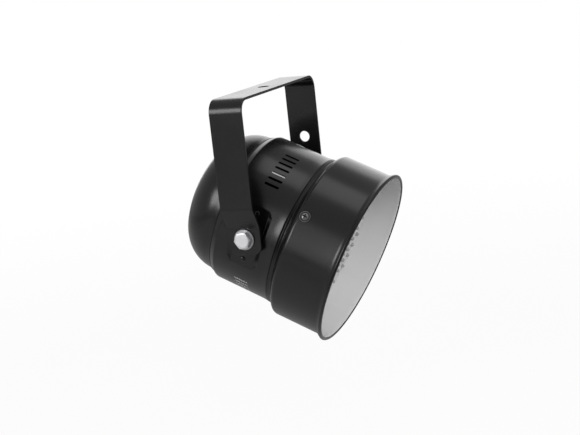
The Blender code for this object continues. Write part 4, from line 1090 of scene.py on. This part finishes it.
@dataclass
class Dome:
    """The spun dome: skirt, lip at the seam, knuckle, crown, and the pressed control recess."""

    radius: float = 0.08277
    knuckle_start: float = -0.0465
    knuckle: float = 0.0435
    knuckle_angle: float = math.radians(66.0)
    sheet: float = 0.0012
    seam: float = -0.0413
    skirt: float = 0.0085
    lip_height: float = 0.0019
    lip_width: float = 0.0013
    crown_floor: float = -0.0926
    recess: Point = (0.066, 0.044)
    socket_hole: float = 0.0115
    socket_places: tuple[Point, ...] = ((-0.0155, -0.0050), (0.0155, -0.0050))
    press_depth: float = 0.02
    press_corner: float = 0.005
    fold_width: float = 0.0006
    fold_angle: float = 20.0
    edge: float = 0.0002

    def crown(self) -> tuple[float, float]:
        """Returns the crown's radius and its centre along the beam."""
        rest = self.radius - self.knuckle
        return (self.knuckle + rest / math.cos(self.knuckle_angle),
                self.knuckle_start + rest * math.tan(self.knuckle_angle))

    def outline(self) -> list[Point]:
        """Returns the outside of the closed blank, from inside the body to the crown.

        Returns:
            The outline's points.
        """
        skirt = self.radius - 0.0001
        lip = self.radius + self.lip_height
        rear = self.seam - self.lip_width
        centre = (self.radius - self.knuckle, self.knuckle_start)
        crown, middle = self.crown()
        start = [(0.0, self.seam + self.skirt), (skirt, self.seam + self.skirt)]
        bead = rounded([(skirt, self.seam + self.skirt), (skirt, self.seam), (lip, self.seam),
                        (lip, rear), (self.radius + self.lip_height / 4, rear - 0.0004),
                        (self.radius, self.knuckle_start)], (0.0003, 0.0005, 0.0005, 0.0004), 3)
        knuckle = arc(centre, self.knuckle, 0.0, -self.knuckle_angle, 20)
        cap = arc((0.0, middle), crown, -self.knuckle_angle, -QUARTER, 14)
        return start[:1] + bead + knuckle[1:] + cap[1:-1] + [(0.0, middle - crown)]

    def build(self) -> None:
        """Spins the dome, presses it, gives it its wall and cuts its holes."""
        piece = Piece.turned("can_dome", self.outline(), 160)
        depth = self.press_depth
        centre = (0.0, 0.0, self.crown_floor - depth / 2)
        press = Piece.block("press", (*self.recess, depth), centre)
        with press.editing():
            press.pick(Pick.EDGE, lambda e: abs(e.verts[0].co.z - e.verts[1].co.z) > depth / 2)
            bpy.ops.mesh.bevel(offset=self.press_corner, segments=6, affect="EDGES")
        piece.cut(press)
        gland = Gland()
        piece.drill(gland.seat_radius, -gland.seat_depth, REACH / 2, gland.placing())
        piece.bevel_folds(self.is_press_edge, self.is_cap, self.fold_width, 3)
        piece.wall(self.sheet)
        low, high = self.crown_floor - 0.004, self.crown_floor + 0.006
        for x, y in self.socket_places:
            piece.drill(self.socket_hole, low, high, Matrix.Translation((x, y, 0.0)))
        piece.soften(self.edge, 2)
        piece.place(CAN)
        piece.finish("can", "black_paint", "rear_dome")

    def is_press_edge(self, edge: bmesh.types.BMEdge) -> bool:
        """Tells whether an edge is a fold of the pressed recess or of the gland's seat."""
        middle = (edge.verts[0].co + edge.verts[1].co) / 2
        return middle.z < -0.055 and is_folded(edge, self.fold_angle)

    def is_cap(self, face: bmesh.types.BMFace) -> bool:
        """Tells whether a face only closes the blank at the front."""
        return face.calc_center_median().z > self.seam + self.skirt - 0.0002


@dataclass
class Collar:
    """The spun front collar: neck, cone, straight wall and rolled rim, pale inside."""

    radius: float = 0.0982
    neck: float = 0.0889
    lip_radius: float = 0.0900
    sheet: float = 0.0010
    neck_rear: float = 0.0352
    lip: float = 0.0007
    cone_rear: float = 0.0384
    cone_angle: float = math.radians(55.0)
    foot: float = 0.0012
    corner: float = 0.0045
    bead_centre: float = 0.1001
    bead: float = 0.0022
    rim: float = 0.1096
    rise: float = math.radians(33.0)
    black_edge: float = 0.0013
    lining_start: float = 0.012

    def outline(self) -> list[Point]:
        """Returns the closed section: rolled bead, outside, and inside.

        Returns:
            The outline's points.
        """
        middle = self.rim - self.bead
        bead = arc((self.bead_centre, middle), self.bead, math.pi, -self.rise, 14)
        leave_radius, leave = bead[-1]
        rise = leave - (leave_radius - self.radius) / math.tan(self.rise)
        front = self.cone_rear + (self.radius - self.neck) / math.tan(self.cone_angle)
        outer = [(self.radius, rise), (self.radius, front), (self.neck, self.cone_rear),
                 (self.lip_radius, self.neck_rear)]
        inner = offset(outer, -self.sheet)
        inner[0] = (self.radius - self.sheet, middle - 0.0025)
        wide = self.corner + self.sheet
        radii = (wide, self.foot, self.lip, self.lip / 4, self.foot + self.sheet, self.corner)
        section = rounded(outer + inner[::-1], radii, 6)
        return bead + section + [bead[0]]

    def build(self) -> None:
        """Spins the collar and paints its inside pale."""
        piece = Piece.turned("collar", self.outline(), 176)
        piece.paint("black_paint", {"pale_lining": self.is_inside})
        piece.place(CAN)
        piece.finish("can", "black_paint", "front_collar")

    def is_inside(self, face: bmesh.types.BMFace) -> bool:
        """Tells whether a face is on the painted inside, up to the rim's crest.

        Args:
            face: The face to test.

        Returns:
            Whether it is one.
        """
        middle = face.calc_center_median()
        radius = middle.xy.length
        lined = self.cone_rear + self.lining_start < middle.z < self.rim - self.black_edge
        on_bead = middle.z > self.rim - 1.5 * self.bead and radius < self.bead_centre
        return lined and (radius < self.radius - self.sheet / 2 or on_bead)


@dataclass
class LampField:
    """The white board and its lamps."""

    board_radius: float = 0.0969
    board_front: float = 0.0720
    board_rear: float = 0.0704
    pitch: float = LAMP_PITCH
    reach: float = 0.0890
    turn: float = LAMP_TURN
    lamp_radius: float = 0.0025
    lamp_height: float = 0.0033

    def places(self) -> list[Vector]:
        """Returns the lamps' centres on a triangular grid.

        Returns:
            The centres, in the plane of the board.
        """
        count = math.ceil(self.reach / self.pitch) + 2
        turn = Matrix.Rotation(self.turn, 2)
        spots = [Vector((i + j / 2, j * ROW_SHARE)) * self.pitch
                 for j in range(-count, count + 1) for i in range(-2 * count, 2 * count + 1)]
        return [turn @ spot for spot in spots if spot.length <= self.reach]

    def lamp(self) -> Piece:
        """Shapes one lamp: a foot ring and a low dome.

        Returns:
            The piece.
        """
        r, h = self.lamp_radius, self.lamp_height
        rings = ((r, 0.0), (r, 0.28 * h), (0.88 * r, 0.40 * h), (0.80 * r, 0.70 * h),
                 (0.45 * r, 0.93 * h))
        piece = Piece.cylinder("lamp", rings[0][0], -0.0004, 0.0, 10)
        with piece.editing():
            piece.pick(Pick.FACE, lambda f: f.normal.z > 0.9)
            for before, after in zip(rings, rings[1:]):
                bpy.ops.mesh.extrude_region_move(
                    TRANSFORM_OT_translate={"value": (0.0, 0.0, after[1] - before[1])})
                share = after[0] / before[0]
                bpy.ops.transform.resize(value=(share, share, 1.0))
            bpy.ops.mesh.poke(offset=0.07 * h)
        return piece

    def build(self) -> None:
        """Cuts the board and sets a lamp at every place."""
        board = Piece.cylinder("lamp_board", self.board_radius, self.board_rear, self.board_front,
                               128)
        board.soften(0.0002, 1)
        board.place(CAN)
        board.finish("can", "white_solder_mask", "led_board")
        lamps = self.lamp().pattern(
            "lamps", [Matrix.Translation((p.x, p.y, self.board_front)) for p in self.places()])
        lamps.place(CAN)
        lamps.finish("can", "white_solder_mask", finish="lamp_epoxy", weighted=False)


@dataclass
class PivotHardware:
    """What is seen at each pivot: bolt, washer, bush and rivets."""

    bolt_head: float = 0.0170
    head_low: float = 0.0979
    head_high: float = 0.1037
    chamfer: float = 0.0011
    washer: float = 0.0115
    bush: float = 0.0120
    washer_low: float = 0.0960
    washer_high: float = 0.0976
    bush_low: float = 0.0813
    bush_high: float = 0.0924
    bore: float = 0.0054
    rivet_place: float = 0.0280
    rivet_radius: float = 0.0030
    rivet_height: float = 0.0014
    rivet_seat: float = 0.0813
    shank: float = 0.0050
    shank_end: float = 0.0660
    ease: float = 0.00025

    def bolt(self, name: str) -> Piece:
        """Shapes one hexagon bolt, its head chamfered and its tip short.

        Args:
            name: The new object's name.

        Returns:
            The piece.
        """
        radius = self.bolt_head / 2 / HEX_CORNER
        head = Piece.cylinder(name, radius, self.head_low, self.head_high, 6)
        limit = Piece.turned("chamfer", [(0.0, self.head_high),
                                         (radius - 2.2 * self.chamfer, self.head_high),
                                         (radius, self.head_high - self.chamfer),
                                         (radius, self.head_low), (0.0, self.head_low)], 72)
        head.meet(limit, "INTERSECT")
        head.soften(0.00015, 2, 20.0)
        shank = Piece.cylinder("shank", self.shank, self.shank_end, self.head_low + 0.0002, 32)
        shank.soften(0.0006, 2)
        return head.join(shank)

    def ring(self, name: str, outer: float, low: float, high: float) -> Piece:
        """Turns a ring with eased edges.

        Args:
            name: The new object's name.
            outer: Its outer radius.
            low: Its lower end along Z.
            high: Its upper end along Z.

        Returns:
            The piece.
        """
        inner, ease = self.bore, self.ease
        outline = [(inner, low), (outer - ease, low), (outer, low + ease), (outer, high - ease),
                   (outer - ease, high), (inner + ease, high), (inner, high - ease), (inner, low)]
        return Piece.turned(name, outline, 72)

    def rivet(self, name: str) -> Piece:
        """Turns one low domed rivet head.

        Args:
            name: The new object's name.

        Returns:
            The piece.
        """
        seat, r, h = self.rivet_seat, self.rivet_radius, self.rivet_height
        outline = [(0.0, seat + h), (0.35 * r, seat + 0.94 * h), (0.7 * r, seat + 0.7 * h),
                   (0.92 * r, seat + 0.35 * h), (r, seat), (0.0, seat)]
        return Piece.turned(name, outline, 32)

    def build(self) -> None:
        """Fits both pivots."""
        for side in Side:
            turn = facing(side)
            label = side.label
            rings = (("washer", self.washer, self.washer_low, self.washer_high, "zinc_steel",
                      "washer_steel"),
                     ("bush", self.bush, self.bush_low, self.bush_high, "black_rubber", None))
            self.bolt(f"bolt_{label}").place(turn).finish(
                "can", "zinc_steel", f"pivot_bolt_{label}", angle=25.0, finish="bolt_steel")
            for word, outer, low, high, slot, finish in rings:
                self.ring(f"{word}_{label}", outer, low, high).place(turn).finish(
                    "can", slot, f"pivot_{word}_{label}", finish=finish)
            for word, up in (("upper", self.rivet_place), ("lower", -self.rivet_place)):
                rivet = self.rivet(f"rivet_head_{label}_{word}")
                rivet.place(turn @ Matrix.Translation((0.0, up, 0.0)))
                rivet.finish("can", "black_paint", f"rivet_{label}_{word}")


@dataclass
class EarthLead:
    """The pale earth lead tied under one vent slot, where it shows as a bright streak."""

    radius: float = 0.0010
    depth: float = 0.0861
    angle: float = math.radians(52.35)
    low: float = -0.0120
    high: float = 0.0120
    sleeve: float = 0.002

    def build(self) -> None:
        """Draws the lead with a sleeve at each end."""
        lead = Piece.cylinder("earth_lead", self.radius, self.low, self.high, 16)
        lead.soften(self.radius / 3, 2)
        for end in (self.low, self.high):
            low, high = end - self.sleeve, end + self.sleeve
            sleeve = Piece.cylinder("sleeve", 1.25 * self.radius, low, high, 16)
            sleeve.soften(self.radius / 4, 2)
            lead.join(sleeve)
        x, y = -self.depth * math.cos(self.angle), self.depth * math.sin(self.angle)
        lead.place(CAN @ Matrix.Translation((x, y, 0.0)))
        lead.finish("can", "white_plastic", finish="pale_lining")


@dataclass
class CollarScrews:
    """The three pan head screws round the collar."""

    seat: float = 0.0985
    head: float = 0.0042
    height: float = 0.0026
    position: float = 0.0532
    washer: float = 0.0060
    washer_height: float = 0.0007
    washer_rim: float = 0.0004
    shank: float = 0.0019
    shank_length: float = 0.0105
    cross: float = 0.0015
    angles: tuple[float, ...] = (math.radians(60.0), math.radians(180.0), math.radians(300.0))

    def screw(self) -> Piece:
        """Turns one screw and cuts the cross in its head.

        Returns:
            The piece.
        """
        seat, top = self.seat, self.seat + self.height
        r, h, w, ring = self.head, self.height, self.washer, self.washer_height
        outline = [(0.0, top), (0.4 * r, top - 0.03 * h), (0.72 * r, top - 0.16 * h),
                   (0.92 * r, top - 0.42 * h), (r, top - 0.70 * h), (r, seat + ring / 3),
                   (w - 0.0005 - self.washer_rim, seat + ring / 3),
                   (w - 0.0002 - self.washer_rim, seat + ring), (w - 0.0002, seat + ring),
                   (w, seat + ring / 2), (w, seat), (self.shank, seat),
                   (self.shank, seat - self.shank_length + 0.0015), (0.0, seat - self.shank_length)]
        piece = Piece.turned("collar_screw", outline, 40)
        for turn in (0.0, QUARTER):
            arm = Piece.block("cross", (1.30 * r, self.cross, 2 * h), (0.0, 0.0, top + 0.20 * h))
            piece.cut(arm.place(Matrix.Rotation(turn, 4, "Z")))
        # The cross and the low ring round the head take black paint as painted shade.
        return piece.paint("black_screw_steel", {"black_paint": self.is_shaded_cross_or_ring})

    def is_shaded_cross_or_ring(self, face: bmesh.types.BMFace) -> bool:
        """Tells whether a face is inside the cross, or on the low ring round the head; both take
        black paint as painted shade.

        Args:
            face: The face to test.

        Returns:
            Whether it is one.
        """
        middle = face.calc_center_median()
        out, up = middle.xy.length, middle.z - self.seat
        if self.head < out < self.washer - 0.0007 and up < self.washer_height:
            return up > -0.0001
        return 0.1 < up / self.height < 0.86 and out < 0.68 * self.head

    def build(self) -> None:
        """Drives the three screws."""
        single = self.screw()
        for i, angle in enumerate(self.angles):
            screw = single.copy(f"pan_screw_{i + 1}", outwards(angle, self.position))
            screw.finish("can", "black_screw_steel", f"collar_screw_{i + 1}")
        bpy.data.objects.remove(single.obj)


@dataclass
class Gland:
    """The cable gland on the dome."""

    on_dome: float = 0.0640
    angle: float = math.radians(250.0)
    seat_radius: float = 0.0135
    seat_depth: float = 0.0016
    across: float = 0.0200
    flange: float = 0.0040
    cap_radius: float = 0.0092
    cap_height: float = 0.0090
    bore: float = 0.0050
    thread: float = 0.0078
    thread_length: float = 0.006
    flutes: int = 12
    flute: float = 0.0009

    def placing(self) -> Matrix:
        """Returns the gland's place on the dome in the can's frame, Z pointing out.

        Returns:
            The placing.
        """
        dome = Dome()
        centre = dome.radius - dome.knuckle
        lean = math.acos((self.on_dome - centre) / dome.knuckle)
        depth = dome.knuckle_start - dome.knuckle * math.sin(lean)
        return (Matrix.Rotation(self.angle, 4, "Z") @ Matrix.Translation((0.0, self.on_dome, depth))
                @ Matrix.Rotation(-QUARTER - lean, 4, "X"))

    def build(self) -> None:
        """Shapes the flange, the domed cap with its flutes, and the thread."""
        seat = -self.seat_depth + 0.0003
        high = seat + self.flange
        top = high + self.cap_height
        end = seat - self.thread_length
        radius = self.across / 2 / HEX_CORNER
        flange = Piece.cylinder("gland", radius, seat, high, 6)
        flange.soften(0.0004, 2, 20.0)
        r, h, bore, foot = self.cap_radius, self.cap_height, self.bore, high - 0.0001
        outline = [(bore, end), (self.thread, end), (self.thread, foot), (r, foot),
                   (r, top - 0.55 * h), (0.97 * r, top - 0.38 * h), (0.9 * r, top - 0.25 * h),
                   (0.78 * r, top - 0.08 * h), (0.6 * r, top), (bore + 0.0002, top),
                   (bore, top - 0.0004), (bore, end)]
        cap = Piece.turned("cap", outline, 72)
        flute = Piece.cylinder("flute", self.flute, high + 0.0006, top - 0.5 * h, 10)
        out = Matrix.Translation((r + 0.0002, 0.0, 0.0))
        cap.cut(flute.pattern("flute", [Matrix.Rotation(math.tau * i / self.flutes, 4, "Z") @ out
                                        for i in range(self.flutes)]))
        flange.drill(bore, seat - REACH / 2, top + REACH / 2, Matrix())
        flange.join(cap)
        flange.place(CAN @ self.placing())
        flange.finish("can", "black_nylon", "cable_gland")


class InnerParts:
    """The CAD pieces that stay as they are and take a finish."""

    finishes: Mapping[str, tuple[str, ...]] = {
        "galvanised_sheet": ("led_carrier", "pivot_stiffener"),
        "zinc_steel": ("pivot_nut",),
        "nickel": ("led_spacer", "driver_post", "switch_post", "xlr_in", "xlr_out", "xlr_latch"),
        "circuit_board": ("driver_board", "control_board", "switch_board"),
        "core_steel": ("transformer",),
        "aluminium": ("capacitor", "heat_sink"),
        "black_nylon": ("gland_nut",),
        "red_plastic": ("dip_block",),
        "white_plastic": ("dip_slider",),
    }

    def dress(self) -> None:
        """Gives each shown CAD node its finish."""
        for slot, starts in self.finishes.items():
            for name, obj in frame["nodes"].items():
                if name.startswith(starts):
                    obj.data.materials.clear()
                    obj.data.materials.append(FINISHES[slot])
                    LOG.info("%s: dressed in %s", name, slot)


@dataclass
class Studio:
    """Floor, white surroundings, soft lamps and the camera, with a dark room behind it, given by a
    dimmer world and a painted dark patch on the floor.
    """

    camera_place: Sequence[float] = (-1.32185, -0.58561, 0.13837)
    camera_axes: Sequence[Sequence[float]] = (
        (0.37429, -0.92119, -0.10635), (0.22347, -0.02170, 0.97447), (-0.89998, -0.38850, 0.19774))
    lens: float = 79.37
    floor_height: float = -0.36
    ambient: float = 0.45
    shadow_share: float = 0.06
    dark_side: Sequence[float] = (-0.897, -0.398, 0.199)
    dark_fade: Point = (0.80, 0.94)
    dark_share: float = 0.15
    painted_dark_spot: Sequence[float] = (-0.90, -0.45, 0.0)
    spot_radius: float = 0.55
    spot_fade: float = 0.25
    shadow_reach: float = 1.4
    lamps: Mapping[str, tuple[Colour, float, float, bool]] = field(default_factory=lambda: {
        "overhead": ((-0.02, -0.26, 1.24), 0.7, 1.8, True),
        "left": ((-1.38, 0.74, 0.50), 0.65, 7.5, True),
        "left_fill": ((-1.58, 0.17, 0.35), 1.1, 2.6, True),
        "backdrop": ((1.54, 0.61, 0.46), 1.5, 8.5, True),
        "front": ((-0.96, -1.20, 0.42), 1.0, 19.0, False),
    })

    def camera(self) -> None:
        """Puts the camera where the photograph was taken from."""
        data = bpy.data.cameras.new("camera")
        data.lens = self.lens
        data.sensor_width = 36.0
        obj = bpy.data.objects.new("camera", data)
        bpy.context.scene.collection.objects.link(obj)
        turn = Matrix(self.camera_axes).transposed().to_4x4()
        obj.matrix_world = Matrix.Translation(self.camera_place) @ turn
        bpy.context.scene.camera = obj

    def lamp(self, name: str, place: Sequence[float], size: float, power: float,
             reflected: bool) -> None:
        """Hangs one square soft lamp that points at the can.

        Args:
            name: The lamp's name.
            place: Where it hangs.
            size: The length of its side.
            power: Its power in watts.
            reflected: Whether glossy surfaces show it.
        """
        data = bpy.data.lights.new(name, "AREA")
        data.energy = power
        data.size = size
        obj = bpy.data.objects.new(name, data)
        bpy.context.scene.collection.objects.link(obj)
        obj.location = place
        obj.visible_glossy = reflected
        obj.rotation_mode = "QUATERNION"
        obj.rotation_quaternion = (PIVOT - Vector(place)).to_track_quat("-Z", "Y")

    def surroundings(self) -> None:
        """Makes a world that lights gently, less from behind the camera, and is seen as white."""
        graph = Graph("studio", world=True)
        bpy.context.scene.world = graph.owner
        away = graph.node("ShaderNodeTexCoord", output="Generated")
        aim = graph.node("ShaderNodeVectorMath", {"operation": "DOT_PRODUCT"},
                         {0: away, 1: self.dark_side}, "Value")
        fade = graph.node("ShaderNodeMapRange", {}, {
            "Value": aim, "From Min": self.dark_fade[0], "From Max": self.dark_fade[1],
            "To Min": self.ambient, "To Max": self.dark_share * self.ambient}, "Result")
        seen = graph.node("ShaderNodeLightPath", output="Is Camera Ray")
        graph.end(graph.node("ShaderNodeBackground", {},
                             {"Color": WHITE, "Strength": seen.at_least(fade)}))

    def floor(self) -> None:
        """Lays a plain white floor with a trace of the shadow, and a painted dark patch under the
        camera that shows as a dark room in reflections.
        """
        Piece.hands_off()
        bpy.ops.mesh.primitive_plane_add(size=12.0, location=(0.0, 0.0, self.floor_height))
        obj = bpy.context.object
        obj.name = "floor"
        graph = Graph("white_floor")
        gap = graph.node("ShaderNodeVectorMath", {"operation": "DISTANCE"},
                         {0: graph.place(), 1: self.painted_dark_spot}, "Value")
        pale = ((gap - self.spot_radius) * (1.0 / self.spot_fade)).clamped()
        # Painted shade: the floor's colour is dark round a spot under the camera, standing in for a
        # dark room in reflections.
        graph.surface(base_color=graph.mix(pale, (0.04,) * 3, (0.55,) * 3), roughness=0.9)
        reach = graph.node("ShaderNodeVectorMath", {"operation": "LENGTH"}, {0: graph.place()},
                           "Value")
        share = 1.0 - (self.shadow_reach - reach).clamped() * self.shadow_share
        seen = graph.node("ShaderNodeLightPath", output="Is Camera Ray")
        glow = graph.node("ShaderNodeEmission", {}, {"Color": WHITE, "Strength": 1.0})
        lit = Wire(graph, graph.shader.outputs[0])
        graph.end(graph.node("ShaderNodeMixShader", {}, {0: seen * share, 1: lit, 2: glow}))
        obj.data.materials.append(graph.owner)

    def build(self) -> None:
        """Sets up the whole studio."""
        bpy.context.scene.view_settings.view_transform = "Standard"
        self.camera()
        self.surroundings()
        self.floor()
        for name, (place, size, power, reflected) in self.lamps.items():
            self.lamp(name, place, size, power, reflected)


def main() -> None:
    """Builds the studio and every sub-assembly in order."""
    logging.basicConfig(level=logging.INFO, format="%(name)s %(message)s")
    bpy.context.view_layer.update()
    Studio().build()
    FINISHES.mix()
    for assembly in (Yoke(), Body(), Dome(), Collar(), LampField(), PivotHardware(), CollarScrews(),
                     Gland(), EarthLead()):
        assembly.build()
        LOG.info("%s built", type(assembly).__name__)
    InnerParts().dress()
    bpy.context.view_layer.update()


if __name__ == "__main__":
    main()
